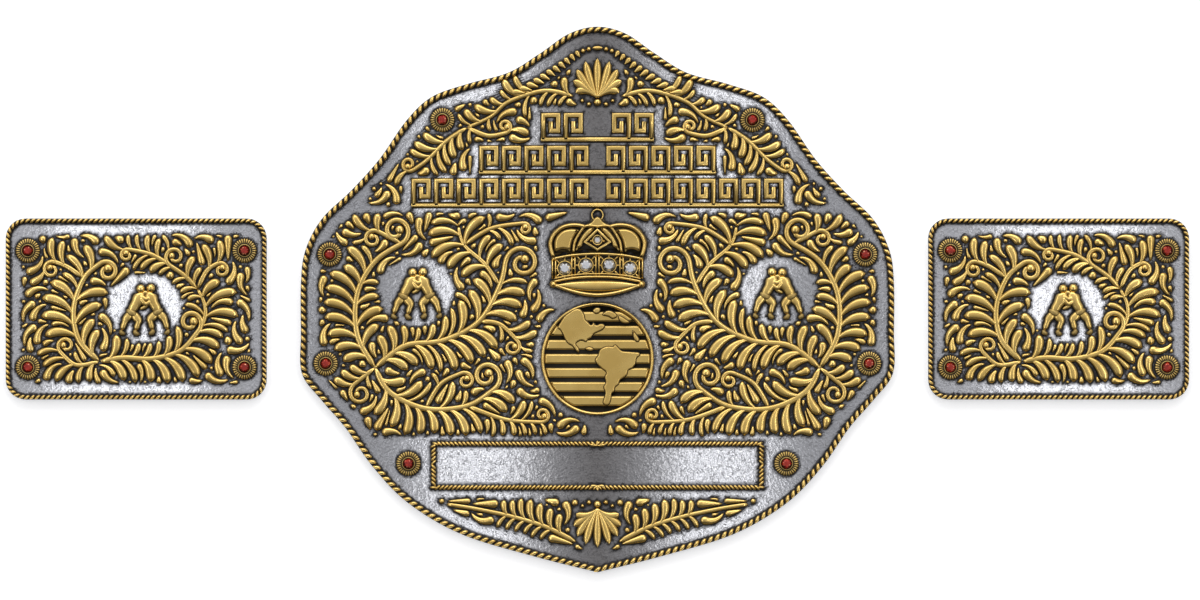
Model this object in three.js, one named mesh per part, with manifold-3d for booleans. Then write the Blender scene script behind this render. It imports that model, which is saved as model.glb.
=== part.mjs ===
// Plates of a championship title belt: a shield-shaped centre plate and two oblong side plates,
// silver, with gold relief laid on their faces. Millimetres. The plates lie on their backs at z = 0,
// +X runs along the belt, +Y is up in the wearer's view and +Z comes out of the face. The origin
// is at the middle of the whole, on its back.
import * as THREE from "three";
import { mergeVertices } from "three/addons/utils/BufferGeometryUtils.js";
import Module from "manifold-3d";

const wasm = await Module();
wasm.setup();

// Plates
const MAIN_HALF_W = 150;
const MAIN_HALF_H = 138;
const SIDE_HALF_W = 66;
const SIDE_HALF_H = 45.8;
const SIDE_CORNER = 10;
const SIDE_GAP = 17.3;
const SIDE_DROP = 4.8;
const PLATE_T = 4;
const PLATE_REVEAL = 0.5;

// Rope edges and the name bar's frame
const MAIN_ROPE_W = 3;
const SIDE_ROPE_W = 2.4;
const ROPE_RISE = 2.4;
const NAME_END_CLEAR = 15.6;
const NAME_HALF_H = 12.4;
const NAME_Y = -84;
const NAME_ROPE_W = 2.7;
const NAME_RISE = 2;
const NAME_TOP_CLEAR = 2;
const NAME_FOOT_CLEAR = 3.5;

// Globe, over the name bar
const NAME_TO_GLOBE = 13;
const GLOBE_R = 28.6;
const GLOBE_BASE_T = 1;
const GLOBE_RIM_W = 1.5;
const GLOBE_RIM_H = 2.6;
const GLOBE_BAR_PITCH = 7.1;
const GLOBE_BAR_W = 5.2;
const GLOBE_BAR_H = 2.2;
const GLOBE_LAND_H = 3.2;
const GLOBE_CLEAR = 3.5;
const GLOBE_Y = NAME_Y + NAME_HALF_H + NAME_TO_GLOBE + GLOBE_R;

// Crown, over the globe
const GLOBE_TO_CROWN = 2.6;
const CROWN_HALF_W = 25.4;
const CROWN_H = 44.7;
const CROWN_WEB_T = 2;
const CROWN_RISE = 5;
const CROWN_RIM_W = 2.1;
const CROWN_RIB_RISE = 4;
const CROWN_NET_W = 1.2;
const CROWN_POST_RISE = 3.5;
const CROWN_CUSHION_RISE = 4.5;
const CROWN_DIAMOND_RISE = 3;
const CROWN_RING_R = 3.2;
const CROWN_RING_BORE_R = 2.4;
const CROWN_RING_T = 3;
const CROWN_STONE_R = 3.3;
const CROWN_STONE_SMALL_R = 2;
const CROWN_STONE_H = 2.4;
const CROWN_STONE_GAP = 0.3;
const CROWN_CLEAR = 3;
const CROWN_RING_SHARE = 0.928;
const CROWN_Y = GLOBE_Y + GLOBE_R + GLOBE_TO_CROWN;

// Key-pattern rows, over the crown
const CROWN_TO_KEYS = 0.7;
const KEY_H = 14.6;
const KEY_PITCH = 11.4;
const KEY_STROKE = 2.3;
const KEY_SLOT = 2;
const KEY_GAP = 1.6;
const KEY_RISE = 2;
const KEY_ROW_GAP = 2;
const KEY_CLEAR = 0.7;
const KEY_END_CLEAR = 1.2;
const CROWN_TOP = CROWN_Y + CROWN_H * CROWN_RING_SHARE + CROWN_RING_R;
const KEY_LOWER_Y = CROWN_TOP + CROWN_TO_KEYS + KEY_H / 2;
const KEY_MIDDLE_Y = KEY_LOWER_Y + KEY_H + KEY_ROW_GAP;
const KEY_UPPER_Y = KEY_MIDDLE_Y + KEY_H + KEY_ROW_GAP;

// Rosettes and red stones
const ROSETTE_R = 6.2;
const ROSETTE_RIM_H = 0.8;
const ROSETTE_SEAT_R = 3.4;
const ROSETTE_H = 2;
const RED_STONE_R = 2.6;
const RED_STONE_H = 1.8;

// Scrollwork
const EDGE_INSET = 8.5;
const SIDE_EDGE_INSET = 7.5;
const SCROLL_RISE = 2.2;
const ROSETTE_CLEAR = 1.1;
const WALL_GAP = 0.3;
const WALL_PITCH = 0.8;
const LEAF_GAP = 0.45;
const LEAF_LEAST_L = 6;
const LEAF_SPACING = 2.2;
const STEM_STEP_L = 1;
const STEM_TAPER_L = 8;
const FACET_L = 10;
const VINE = { root: 1.7, tip: 1.3, bulb: 2.1, pitch: 4.6, leaf: 16, broad: 2.25, angle: 33, curl: 44 };
const TWIG = { root: 1.4, tip: 1, bulb: 1.5, pitch: 4.1, leaf: 11, broad: 1.85, angle: 38, curl: 38 };
const FROND = { root: 1.4, tip: 0.9, bulb: 0, pitch: 4.3, leaf: 17, broad: 2.2, angle: 44, curl: 56 };

// Figures
const FIGURE_HALF = 15.5;
const FIGURE_RISE = 2.6;
const FIGURE_CLEAR_X = 3;
const FIGURE_CLEAR_Y = 1.5;

const gold = new THREE.MeshStandardMaterial({ color: 0xb5954a, roughness: 0.32, metalness: 1 });
const silver = new THREE.MeshStandardMaterial({ color: 0xb9bcc8, roughness: 0.38, metalness: 1 });
const redStone = new THREE.MeshStandardMaterial({ color: 0x9c1512, roughness: 0.08, metalness: 0 });
const whiteStone = new THREE.MeshStandardMaterial({ color: 0xf1f3fb, roughness: 0.05, metalness: 0 });

const belt = new THREE.Group();

function place(name, geometry, material, x = 0, y = 0, z = PLATE_T) {
  const mesh = new THREE.Mesh(geometry, material);
  mesh.name = name;
  mesh.position.set(x, y, z);
  belt.add(mesh);
}

function radians(degrees) {
  return (degrees * Math.PI) / 180;
}

// Rows of [x, y] in hundredths of two lengths become points.
function shares(rows, unitX, unitY) {
  return rows.map(([x, y]) => new THREE.Vector2((x * unitX) / 100, (y * unitY) / 100));
}

function mirrored(points) {
  return points.map((p) => new THREE.Vector2(-p.x, p.y));
}

function solidOf(geometry) {
  const bare = geometry.clone();
  bare.deleteAttribute("uv");
  bare.deleteAttribute("normal");
  const merged = mergeVertices(bare, 1e-5);
  const corners = Array.from(merged.index.array);
  const whole = [];
  for (let i = 0; i < corners.length; i += 3) {
    const [a, b, c] = corners.slice(i, i + 3);
    if (a !== b && b !== c && c !== a) whole.push(a, b, c);
  }
  return new wasm.Manifold(
    new wasm.Mesh({
      numProp: 3,
      vertProperties: merged.attributes.position.array,
      triVerts: new Uint32Array(whole),
    }),
  );
}

function geometryOf(solid) {
  const mesh = solid.getMesh();
  const geometry = new THREE.BufferGeometry();
  geometry.setAttribute("position", new THREE.BufferAttribute(mesh.vertProperties, 3));
  geometry.setIndex(new THREE.BufferAttribute(mesh.triVerts, 1));
  return geometry;
}

// Largest move of a surface when a fused piece drops needless facets.
const RELIEF_TOLERANCE = 0.1;
const SEAT_TOLERANCE = 0.01;

function tidied(solid, tolerance) {
  return geometryOf(solid.asOriginal().simplify(tolerance));
}

function fuse(geometries) {
  return tidied(wasm.Manifold.union(geometries.map(solidOf)), RELIEF_TOLERANCE);
}

function extrude(points, depth) {
  return new THREE.ExtrudeGeometry(new THREE.Shape(points), { depth, bevelEnabled: false });
}

function mirrorX(geometry) {
  const turned = geometry.clone().scale(-1, 1, 1);
  const index = turned.index.array;
  for (let i = 0; i < index.length; i += 3) {
    const second = index[i + 1];
    index[i + 1] = index[i + 2];
    index[i + 2] = second;
  }
  return turned;
}

// Cross sections of relief, from the left foot over the top to the right foot: [across, up].
const RIDGE = [[1, 0], [0, 1], [-1, 0]];
const ROUND = [[1, 0], [0.65, 1], [-0.65, 1], [-1, 0]];

// A mitre widens a rib by no more than one over this.
const MITRE_LEAST = 0.7;

// A raised rib: a cross section carried along a path on the plate, with its own half width and
// height at each point. A half width of 0 closes the rib in a point.
function relief(path, halfWidths, heights, section = RIDGE, closed = false) {
  const positions = [];
  const rings = [];
  const count = path.length;
  path.forEach((point, i) => {
    const before = closed ? path[(i + count - 1) % count] : path[Math.max(i - 1, 0)];
    const after = closed ? path[(i + 1) % count] : path[Math.min(i + 1, count - 1)];
    const arriving = point.clone().sub(before).normalize();
    const leaving = after.clone().sub(point).normalize();
    const along = arriving.clone().add(leaving).normalize();
    const mitre = 1 / Math.max(MITRE_LEAST, along.dot(arriving.lengthSq() ? arriving : leaving));
    const half = halfWidths[i] * mitre;
    const first = positions.length / 3;
    if (half > 0) {
      for (const [across, up] of section) {
        positions.push(point.x - along.y * across * half, point.y + along.x * across * half, up * heights[i]);
      }
      rings.push(section.map((_, k) => first + k));
    } else {
      positions.push(point.x, point.y, 0);
      rings.push(section.map(() => first));
    }
  });
  const faces = [];
  const last = section.length - 1;
  const steps = closed ? count : count - 1;
  for (let i = 0; i < steps; i++) {
    const a = rings[i];
    const b = rings[(i + 1) % count];
    for (let k = 0; k < last; k++) {
      faces.push([a[k], a[k + 1], b[k]], [a[k + 1], b[k + 1], b[k]]);
    }
    faces.push([a[0], b[0], a[last]], [a[last], b[0], b[last]]);
  }
  if (!closed) {
    const end = rings[count - 1];
    for (let k = 1; k < last; k++) {
      faces.push([rings[0][0], rings[0][k + 1], rings[0][k]], [end[0], end[k], end[k + 1]]);
    }
  }
  const geometry = new THREE.BufferGeometry();
  geometry.setAttribute("position", new THREE.Float32BufferAttribute(positions, 3));
  geometry.setIndex(faces.filter(([a, b, c]) => a !== b && b !== c && c !== a).flat());
  return geometry;
}

// A rib of even width whose path is smoothed through its points.
function rib(points, width, height, steps, section = RIDGE) {
  const path = new THREE.SplineCurve(points).getSpacedPoints(steps);
  return relief(path, path.map(() => width / 2), path.map(() => height), section);
}

// A swelling form, such as a lobe or a limb: rows of [x, y, half width] in hundredths.
function swell(rows, unitX, unitY, unitW, height, section = RIDGE) {
  const widest = Math.max(...rows.map((row) => row[2]));
  return relief(
    shares(rows, unitX, unitY),
    rows.map((row) => (row[2] * unitW) / 100),
    rows.map((row) => height * Math.sqrt(row[2] / widest)),
    section,
  );
}

function closedCurve(points, steps) {
  const knots = points.map((p) => new THREE.Vector3(p.x, p.y, 0));
  const curve = new THREE.CatmullRomCurve3(knots, true, "catmullrom", 0.5);
  return curve.getPoints(steps).slice(0, -1).map((p) => new THREE.Vector2(p.x, p.y));
}

// A closed outline moved inwards by a distance; the outline runs anticlockwise.
function inset(points, distance) {
  const count = points.length;
  return points.map((point, i) => {
    const along = points[(i + 1) % count].clone().sub(points[(i + count - 1) % count]).normalize();
    return new THREE.Vector2(point.x - along.y * distance, point.y + along.x * distance);
  });
}

const CORNER_STEPS = 4;
const SAME_POINT = 0.01;

function roundedBox(halfW, halfH, corner) {
  const shape = new THREE.Shape();
  shape.moveTo(halfW, corner - halfH);
  shape.absarc(halfW - corner, halfH - corner, corner, 0, Math.PI / 2);
  shape.absarc(corner - halfW, halfH - corner, corner, Math.PI / 2, Math.PI);
  shape.absarc(corner - halfW, corner - halfH, corner, Math.PI, 1.5 * Math.PI);
  shape.absarc(halfW - corner, corner - halfH, corner, 1.5 * Math.PI, 2 * Math.PI);
  const points = shape.getPoints(CORNER_STEPS);
  return points.filter((p, i) => p.distanceTo(points[(i + 1) % points.length]) > SAME_POINT);
}

const ELLIPSE_STEPS = 36;

function ellipse(x, y, halfX, halfY) {
  return new THREE.EllipseCurve(x, y, halfX, halfY).getPoints(ELLIPSE_STEPS).slice(0, -1);
}

// The outline's half width at a height: where its right side crosses that height.
function halfWidthAt(outline, height) {
  for (let i = 0; i < outline.length; i++) {
    const a = outline[i];
    const b = outline[(i + 1) % outline.length];
    if (a.x + b.x > 0 && (a.y - height) * (b.y - height) <= 0 && a.y !== b.y) {
      return a.x + ((b.x - a.x) * (height - a.y)) / (b.y - a.y);
    }
  }
  return 0;
}

// Right half of the centre plate's outline, top to foot, in hundredths of its half sizes.
const MAIN_OUTLINE = [
  [0, 100], [9.5, 97.5], [19, 90.5], [30, 83.2], [44, 79], [56, 74.2], [64.5, 65.5], [73.5, 51.5],
  [83, 40], [93, 29.5], [98.5, 18], [100, 6], [100, -12], [99.7, -27], [93, -37], [85, -47],
  [76, -61], [64, -74.5], [46, -86], [22, -94], [0, -100],
];
const OUTLINE_STEPS = 2;

// Anticlockwise: from the top down the left side to the foot and up the right side.
const [topKnot, ...rightKnots] = shares(MAIN_OUTLINE, MAIN_HALF_W, MAIN_HALF_H);
const footKnot = rightKnots.pop();
const mainKnots = [topKnot, ...mirrored(rightKnots), footKnot, ...rightKnots.reverse()];
const mainOutline = closedCurve(mainKnots, mainKnots.length * OUTLINE_STEPS);
const sideOutline = roundedBox(SIDE_HALF_W, SIDE_HALF_H, SIDE_CORNER);
const sideX = MAIN_HALF_W + SIDE_GAP + SIDE_HALF_W;

function ropeEdge(outline, width) {
  const path = inset(outline, width / 2);
  return relief(path, path.map(() => width / 2), path.map(() => ROPE_RISE), ROUND, true);
}

place("main_plate", extrude(inset(mainOutline, PLATE_REVEAL), PLATE_T), silver, 0, 0, 0);
place("main_rope", ropeEdge(mainOutline, MAIN_ROPE_W), gold);
for (const [side, x] of [["left", -sideX], ["right", sideX]]) {
  place(`${side}_plate`, extrude(inset(sideOutline, PLATE_REVEAL), PLATE_T), silver, x, -SIDE_DROP, 0);
  place(`${side}_rope`, ropeEdge(sideOutline, SIDE_ROPE_W), gold, x, -SIDE_DROP);
}

// The name bar reaches as far as its lower corners keep clear of the main rope.
const nameHalfW = halfWidthAt(mainOutline, NAME_Y - NAME_HALF_H) - MAIN_ROPE_W - NAME_END_CLEAR;

function nameFrame() {
  const halfW = nameHalfW - NAME_ROPE_W / 2;
  const halfH = NAME_HALF_H - NAME_ROPE_W / 2;
  const corners = shares([[100, 100], [-100, 100], [-100, -100], [100, -100]], halfW, halfH);
  return relief(corners, corners.map(() => NAME_ROPE_W / 2), corners.map(() => NAME_RISE), ROUND, true);
}
place("name_frame", nameFrame(), gold, 0, NAME_Y);

// Crown: x in hundredths of its half width, y in hundredths of its height from the foot.
const CROWN_OUTLINE = [
  [0, 0], [31, 2], [59, 6], [84, 11.5], [92.4, 15.5], [89.6, 19.5], [87, 23], [87, 38.5], [91, 45.5],
  [98, 54.5], [100, 62], [94, 71], [84, 78], [70, 82.5], [52, 84], [36, 83.5], [25, 82], [10.5, 89.5],
];
const CROWN_WINDOWS = [
  [[13, 49], [17.5, 53], [25, 54.7], [33.5, 53], [39, 49]],
  [[56, 47.5], [61, 51], [68, 51.5], [74, 49.5], [78.5, 46.5]],
];
const CROWN_RIBS = [
  [[25, 79.8], [45, 81.7], [68, 79.4], [85.5, 71.8], [93.5, 62.3], [92.5, 54.4], [88, 46.4]],
  [[0, 80], [14, 81], [26, 79.4], [36.4, 71.8], [45, 62.3], [48, 51.2]],
  [[0, 49], [24, 48.6], [48, 47.5], [66, 46], [87, 43.5]],
  [[0, 23], [30, 22.6], [60, 20.6], [87, 17.5]],
  [[0, 2.5], [31, 4.3], [59, 8.3], [84, 13.5]],
];
const CROWN_POSTS = [[0, 24, 48], [48, 23, 47], [86.5, 21, 43]];
const CROWN_LOBES = [
  [[32, 78, 0], [52, 74, 9], [66, 65, 15], [70, 58, 14], [72, 53, 11]],
  [[6, 77, 0], [18, 73, 6], [30, 65, 9], [38, 57, 5], [42, 53, 0]],
];
const CROWN_CUSHION = [[-84, 13.5, 0], [-50, 13, 8], [0, 12.5, 11], [50, 13, 8], [84, 13.5, 0]];
const CROWN_DIAMOND = [[0, 53.5], [25, 62.5], [0, 76], [-25, 62.5]];
const CROWN_STONES = [[-65, 32.5], [-23, 36], [23, 36], [65, 32.5]];
const CROWN_TOP_STONE = [0, 64.5];
const RING_SIDES = 14;
const WELL_SIDES = 10;

function crownGeometry() {
  const across = CROWN_HALF_W;
  const up = CROWN_H;
  const ringY = CROWN_RING_SHARE * up;
  const half = shares(CROWN_OUTLINE, across, up);
  const web = solidOf(extrude([...half, ...mirrored(half.slice(1)).reverse()], CROWN_WEB_T));
  const pieces = [];
  for (const flip of [1, -1]) {
    for (const points of CROWN_RIBS) {
      const width = points === CROWN_RIBS[0] || points === CROWN_RIBS[4] ? CROWN_RIM_W : CROWN_NET_W;
      pieces.push(rib(shares(points, across * flip, up), width, CROWN_RIB_RISE, points.length - 1));
    }
    for (const [x, low, high] of CROWN_POSTS) {
      const post = shares([[x, low], [x, high]], across * flip, up);
      pieces.push(rib(post, CROWN_NET_W, CROWN_POST_RISE, 1));
    }
    for (const rows of CROWN_LOBES) pieces.push(swell(rows, across * flip, up, across, CROWN_RISE));
  }
  pieces.push(swell(CROWN_CUSHION, across, up, across, CROWN_CUSHION_RISE));
  const diamond = shares(CROWN_DIAMOND, across, up);
  const narrow = diamond.map(() => CROWN_NET_W / 2);
  pieces.push(relief(diamond, narrow, narrow.map(() => CROWN_DIAMOND_RISE), RIDGE, true));
  const ringDisc = new THREE.CylinderGeometry(CROWN_RING_R, CROWN_RING_R, CROWN_RING_T, RING_SIDES);
  ringDisc.rotateX(Math.PI / 2).translate(0, ringY, CROWN_RING_T / 2);
  let crown = wasm.Manifold.union([web, ...pieces.map(solidOf), solidOf(ringDisc)]);
  for (const flip of [1, -1]) {
    for (const points of CROWN_WINDOWS) {
      const cut = shares(points, across * flip, up);
      if (flip < 0) cut.reverse();
      crown = crown.subtract(solidOf(extrude(cut, 3 * CROWN_RISE).translate(0, 0, -CROWN_RISE)));
    }
  }
  const boreR = CROWN_RING_BORE_R;
  const bore = new THREE.CylinderGeometry(boreR, boreR, 3 * CROWN_RISE, RING_SIDES);
  crown = crown.subtract(solidOf(bore.rotateX(Math.PI / 2).translate(0, ringY, 0)));
  for (const [x, y] of CROWN_STONES) {
    crown = crown.subtract(stoneWell(x, y, CROWN_STONE_R + CROWN_STONE_GAP));
  }
  crown = crown.subtract(stoneWell(...CROWN_TOP_STONE, CROWN_STONE_SMALL_R + CROWN_STONE_GAP));
  return tidied(crown, SEAT_TOLERANCE);
}

// The round space over the web that a crown stone stands in.
function stoneWell(x, y, radius) {
  const well = new THREE.CylinderGeometry(radius, radius, 2 * CROWN_RISE, WELL_SIDES);
  well.rotateX(Math.PI / 2);
  well.translate((x * CROWN_HALF_W) / 100, (y * CROWN_H) / 100, CROWN_WEB_T + CROWN_RISE);
  return solidOf(well);
}

// A cut stone: a round girdle of eight facets rising to a flat table.
const STONE_SIDES = 8;
const STONE_TABLE = 0.58;

function cutStone(radius, height) {
  const stone = new THREE.CylinderGeometry(radius * STONE_TABLE, radius, height, STONE_SIDES);
  return stone.rotateX(Math.PI / 2).translate(0, 0, height / 2);
}

place("crown", crownGeometry(), gold, 0, CROWN_Y);
[...CROWN_STONES, CROWN_TOP_STONE].forEach(([x, y], i) => {
  const radius = i < CROWN_STONES.length ? CROWN_STONE_R : CROWN_STONE_SMALL_R;
  const centreX = (x * CROWN_HALF_W) / 100;
  const centreY = CROWN_Y + (y * CROWN_H) / 100;
  const geometry = cutStone(radius, (CROWN_STONE_H * radius) / CROWN_STONE_R);
  place(`crown_stone_${i + 1}`, geometry, whiteStone, centreX, centreY, PLATE_T + CROWN_WEB_T);
});

// Land on the globe, in hundredths of its radius.
const LAND_NORTH = [
  [-70, 66], [-71, 52], [-60, 36], [-45, 24], [-32, 13], [-36, 32], [-22, 36], [-6, 36], [2, 50],
  [14, 60], [-2, 62], [-10, 70], [-22, 78], [-30, 90], [-50, 80],
];
const LAND_SOUTH = [
  [6, 16], [20, 22], [36, 20], [48, 12], [76, 11], [68, -10], [54, -22], [48, -36], [34, -48],
  [26, -64], [16, -82], [9, -76], [12, -44], [16, -24], [-2, -8], [0, 4],
];
const GLOBE_SIDES = 28;
const GLOBE_BARS_BELOW = 3;
const GLOBE_BARS = 6;

function lathe(profile, sides) {
  const points = profile.map(([x, y]) => new THREE.Vector2(x, y));
  return new THREE.LatheGeometry(points, sides).rotateX(Math.PI / 2);
}

function globeGeometry() {
  const inner = GLOBE_R - GLOBE_RIM_W;
  const middle = GLOBE_R - GLOBE_RIM_W / 2;
  const crest = GLOBE_R - GLOBE_RIM_W / 3;
  const base = new THREE.CylinderGeometry(middle, middle, GLOBE_BASE_T, GLOBE_SIDES);
  base.rotateX(Math.PI / 2).translate(0, 0, GLOBE_BASE_T / 2);
  const profile = [[inner, 0], [GLOBE_R, 0], [crest, GLOBE_RIM_H], [inner, GLOBE_RIM_H], [inner, 0]];
  const rim = lathe(profile, GLOBE_SIDES);
  const bars = [];
  for (let row = 0; row < GLOBE_BARS; row++) {
    const y = (row - GLOBE_BARS_BELOW) * GLOBE_BAR_PITCH;
    const corner = Math.min(inner, Math.abs(y) + GLOBE_BAR_W / 2);
    const reach = Math.sqrt(inner ** 2 - corner ** 2) + GLOBE_RIM_W / 4;
    const bar = new THREE.BoxGeometry(2 * reach, GLOBE_BAR_W, GLOBE_BAR_H);
    bars.push(bar.translate(0, y, GLOBE_BAR_H / 2));
  }
  const land = [LAND_NORTH, LAND_SOUTH].map((rows) => extrude(shares(rows, GLOBE_R, GLOBE_R), GLOBE_LAND_H));
  return fuse([base, rim, ...bars, ...land]);
}
place("globe", globeGeometry(), gold, 0, GLOBE_Y);

// One row of the key pattern: hooks on a common rail, mirrored about the middle of the row.
function keyRow(count, middleGap) {
  const bars = [];
  const bar = (x0, y0, x1, y1) => {
    const box = new THREE.BoxGeometry(x1 - x0, y1 - y0, KEY_RISE);
    bars.push(box.translate((x0 + x1) / 2, (y0 + y1) / 2, KEY_RISE / 2));
  };
  const s = KEY_STROKE;
  const low = -KEY_H / 2;
  const high = KEY_H / 2;
  const reach = middleGap / 2 + (count / 2) * KEY_PITCH;
  bar(-reach, low, reach, low + s);
  for (let i = 0; i < count / 2; i++) {
    for (const flip of [-1, 1]) {
      const at = (a, y0, b, y1) => {
        const x0 = flip * (reach - i * KEY_PITCH - a);
        const x1 = flip * (reach - i * KEY_PITCH - b);
        bar(Math.min(x0, x1), y0, Math.max(x0, x1), y1);
      };
      const hook = KEY_PITCH - KEY_GAP;
      const inner = low + s + KEY_SLOT;
      at(0, low, s, high);
      at(0, high - s, hook, high);
      at(hook - s, inner, hook, high);
      at(s + KEY_SLOT, inner, hook, inner + s);
    }
  }
  return fuse(bars);
}

// Each row: its name, how many hooks it has, the gap between its two middle hooks and its height
// on the plate.
const KEY_ROWS = [
  ["fret_upper", 4, KEY_PITCH, KEY_UPPER_Y],
  ["fret_middle", 10, KEY_PITCH / 2, KEY_MIDDLE_Y],
  ["fret_lower", 16, KEY_PITCH / 2, KEY_LOWER_Y],
];
for (const [name, count, middleGap, y] of KEY_ROWS) place(name, keyRow(count, middleGap), gold, 0, y);

// What fills the room between the key rows or the name bar and the plate's edge follows both: y
// from a start in hundredths of the room, x in hundredths of the inset edge's half width there.
const edge = inset(mainOutline, EDGE_INSET);
const keyClear = KEY_H / 2 + KEY_CLEAR;
const keyBottom = KEY_LOWER_Y - keyClear;
const keyTop = KEY_UPPER_Y + keyClear;
const crestRoom = MAIN_HALF_H - EDGE_INSET - keyTop;

function inRoom(rows, start, room) {
  return rows.map(([x, share, beside]) => {
    if (beside) return shares([[x, share]], MAIN_HALF_W, MAIN_HALF_H)[0];
    const y = start + (share * room) / 100;
    return new THREE.Vector2((x * halfWidthAt(edge, y)) / 100, y);
  });
}

// Rosettes, in hundredths of their plate's half sizes. The centre plate's last one stands beside
// the name bar, at a share of the room that the bar leaves up to the rope.
const MAIN_ROSETTES = [[52.3, 65.8], [90.3, 16.5], [91.6, -23.5]];
const SIDE_ROSETTES = [[83, 64.5], [83, -64.5]];
const NAME_ROSETTE_SHARE = 0.41;
const NAME_ROSETTE_RISE = 1;

const ROSETTE_SIDES = 10;

function rosette() {
  const seat = ROSETTE_SEAT_R;
  const profile = [[0, 0], [ROSETTE_R, 0], [ROSETTE_R, ROSETTE_RIM_H], [seat, ROSETTE_H], [0, ROSETTE_H]];
  return lathe(profile, ROSETTE_SIDES);
}

const nameRosetteY = NAME_Y + NAME_ROSETTE_RISE;
const nameRoom = halfWidthAt(mainOutline, nameRosetteY) - MAIN_ROPE_W - nameHalfW;
const mainRosettes = [
  ...shares(MAIN_ROSETTES, MAIN_HALF_W, MAIN_HALF_H),
  new THREE.Vector2(nameHalfW + NAME_ROSETTE_SHARE * nameRoom, nameRosetteY),
];
const rosettePlaces = [];
for (const flip of [-1, 1]) {
  for (const p of mainRosettes) rosettePlaces.push([flip * p.x, p.y]);
}
for (const x of [-sideX, sideX]) {
  for (const p of shares(SIDE_ROSETTES, SIDE_HALF_W, SIDE_HALF_H)) {
    rosettePlaces.push([x - p.x, p.y - SIDE_DROP], [x + p.x, p.y - SIDE_DROP]);
  }
}
rosettePlaces.forEach(([x, y], i) => {
  const number = String(i + 1).padStart(2, "0");
  place(`rosette_${number}`, rosette(), gold, x, y);
  place(`red_stone_${number}`, cutStone(RED_STONE_R, RED_STONE_H), redStone, x, y, PLATE_T + ROSETTE_H);
});

// Scrollwork tables. A stem has a style, the share of its length where leaves start and end, its
// points, and for a volute its first and last radius, its turns and the side it turns to. A stem
// starts at a point of an earlier one. On the panels and side plates the points are hundredths of
// the plate's half sizes and the radii hundredths of its half width.
const PANEL_STEMS = [
  [
    VINE, 0.04, 0.62, [[-75, -25], [-65, -17], [-52, -15], [-40, -8], [-33, 5], [-31, 14]],
    [5.7, 1.5, 1.35, -1],
  ],
  [VINE, 0.05, 0.6, [[-75, -25], [-81, -13], [-81, 2], [-75, 14], [-66, 20.5]], [4.8, 1.3, 1.25, 1]],
  [FROND, 0.3, 1, [[-33, 5], [-38, 13], [-45, 20], [-47, 27]]],
  [VINE, 0.05, 0.62, [[-75, -25], [-70, -34], [-58, -40], [-44, -39], [-35, -33]], [5.1, 1.3, 1.35, 1]],
  [TWIG, 0.12, 0.66, [[-44, -39], [-31, -44], [-19, -45]], [2.5, 0.8, 1.2, 1]],
  [TWIG, 0.1, 0.6, [[-40, -8], [-33, -9], [-27, -15]], [2.8, 0.9, 1.15, -1]],
];
// Over the key rows, y is from the rows' top in hundredths of the room that they leave up to the
// inset edge, x in hundredths of the inset edge's half width at that height, and radii are in
// hundredths of that room. Points marked BESIDE run down beside the rows, in hundredths of the
// plate's half sizes as on the panels.
const BESIDE = true;
const CREST_STEMS = [
  [VINE, 0.1, 0.6, [[0, 20.7], [-21.6, 22.7], [-55.2, 44.7], [-66, 71]], [17.5, 5.2, 1.2, -1]],
  [
    TWIG, 0.04, 0.95,
    [[-21.6, 22.7], [-58.6, 30.7], [-68, 14.6], [-36, 67, BESIDE], [-44, 63, BESIDE]],
  ],
  [
    TWIG, 0.06, 0.75, [[-44, 63, BESIDE], [-51, 58, BESIDE], [-57, 51.5, BESIDE]],
    [10.9, 3.9, 1.2, -1],
  ],
  [FROND, 0.15, 0.9, [[0, 20.7], [0, 48.7]]],
];
// Under the name bar: y from the bar's foot, down to the inset edge, and x as over the rows.
const FOOT_STEMS = [
  [VINE, 0.12, 0.6, [[0, -80], [-38.7, -77], [-35, -54], [-18.6, -26]], [18.8, 6, 1.15, -1]],
  [TWIG, 0.06, 0.95, [[-38.7, -77], [-47.7, -51.7], [-63.3, -33], [-82, -19.2], [-94.5, -12]]],
];
const SIDE_STEMS = [
  [VINE, 0.05, 0.64, [[-28, -58], [-10, -54], [12, -55], [34, -46], [48, -24]], [9.1, 2.6, 1.2, 1]],
  [VINE, 0.05, 0.62, [[-28, -58], [-44, -34], [-48, 0], [-40, 34], [-28, 50]], [8.2, 2.4, 1.2, -1]],
  [TWIG, 0.06, 0.64, [[-28, -58], [-46, -62], [-58, -48]], [6.7, 2, 1.2, -1]],
  [FROND, 0.1, 1, [[48, -24], [53, -8], [52, 8], [47, 22]]],
  [TWIG, 0.05, 0.6, [[47, 22], [38, 36], [26, 48]], [7.6, 2.3, 1.25, -1]],
];

// Circles that the next leaf has to keep clear of.
class Field {
  circles = [];

  add(points, radii) {
    points.forEach((p, i) => this.circles.push([p.x, p.y, radii[i]]));
  }

  addWall(outline) {
    outline.forEach((point, i) => {
      const next = outline[(i + 1) % outline.length];
      const steps = Math.max(1, Math.round(point.distanceTo(next) / WALL_PITCH));
      for (let k = 0; k < steps; k++) {
        const at = point.clone().lerp(next, k / steps);
        this.circles.push([at.x, at.y, 0]);
      }
    });
  }

  clearance(point) {
    let least = Infinity;
    for (const [x, y, r] of this.circles) least = Math.min(least, Math.hypot(point.x - x, point.y - y) - r);
    return least;
  }
}

const VOLUTE_STEPS = 22;

// A spiral from a point along a heading: its radius falls evenly from first to last as it turns.
function volute(start, heading, first, last, turns, side) {
  const steps = Math.round(turns * VOLUTE_STEPS) + 2;
  const points = [];
  const at = start.clone();
  for (let k = 0; k < steps; k++) {
    const share = (k + 0.5) / steps;
    const turned = share * turns * 2 * Math.PI;
    const stride = ((first + (last - first) * share) * turns * 2 * Math.PI) / steps;
    at.x += Math.cos(heading + side * turned) * stride;
    at.y += Math.sin(heading + side * turned) * stride;
    points.push(at.clone());
  }
  return points;
}

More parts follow.
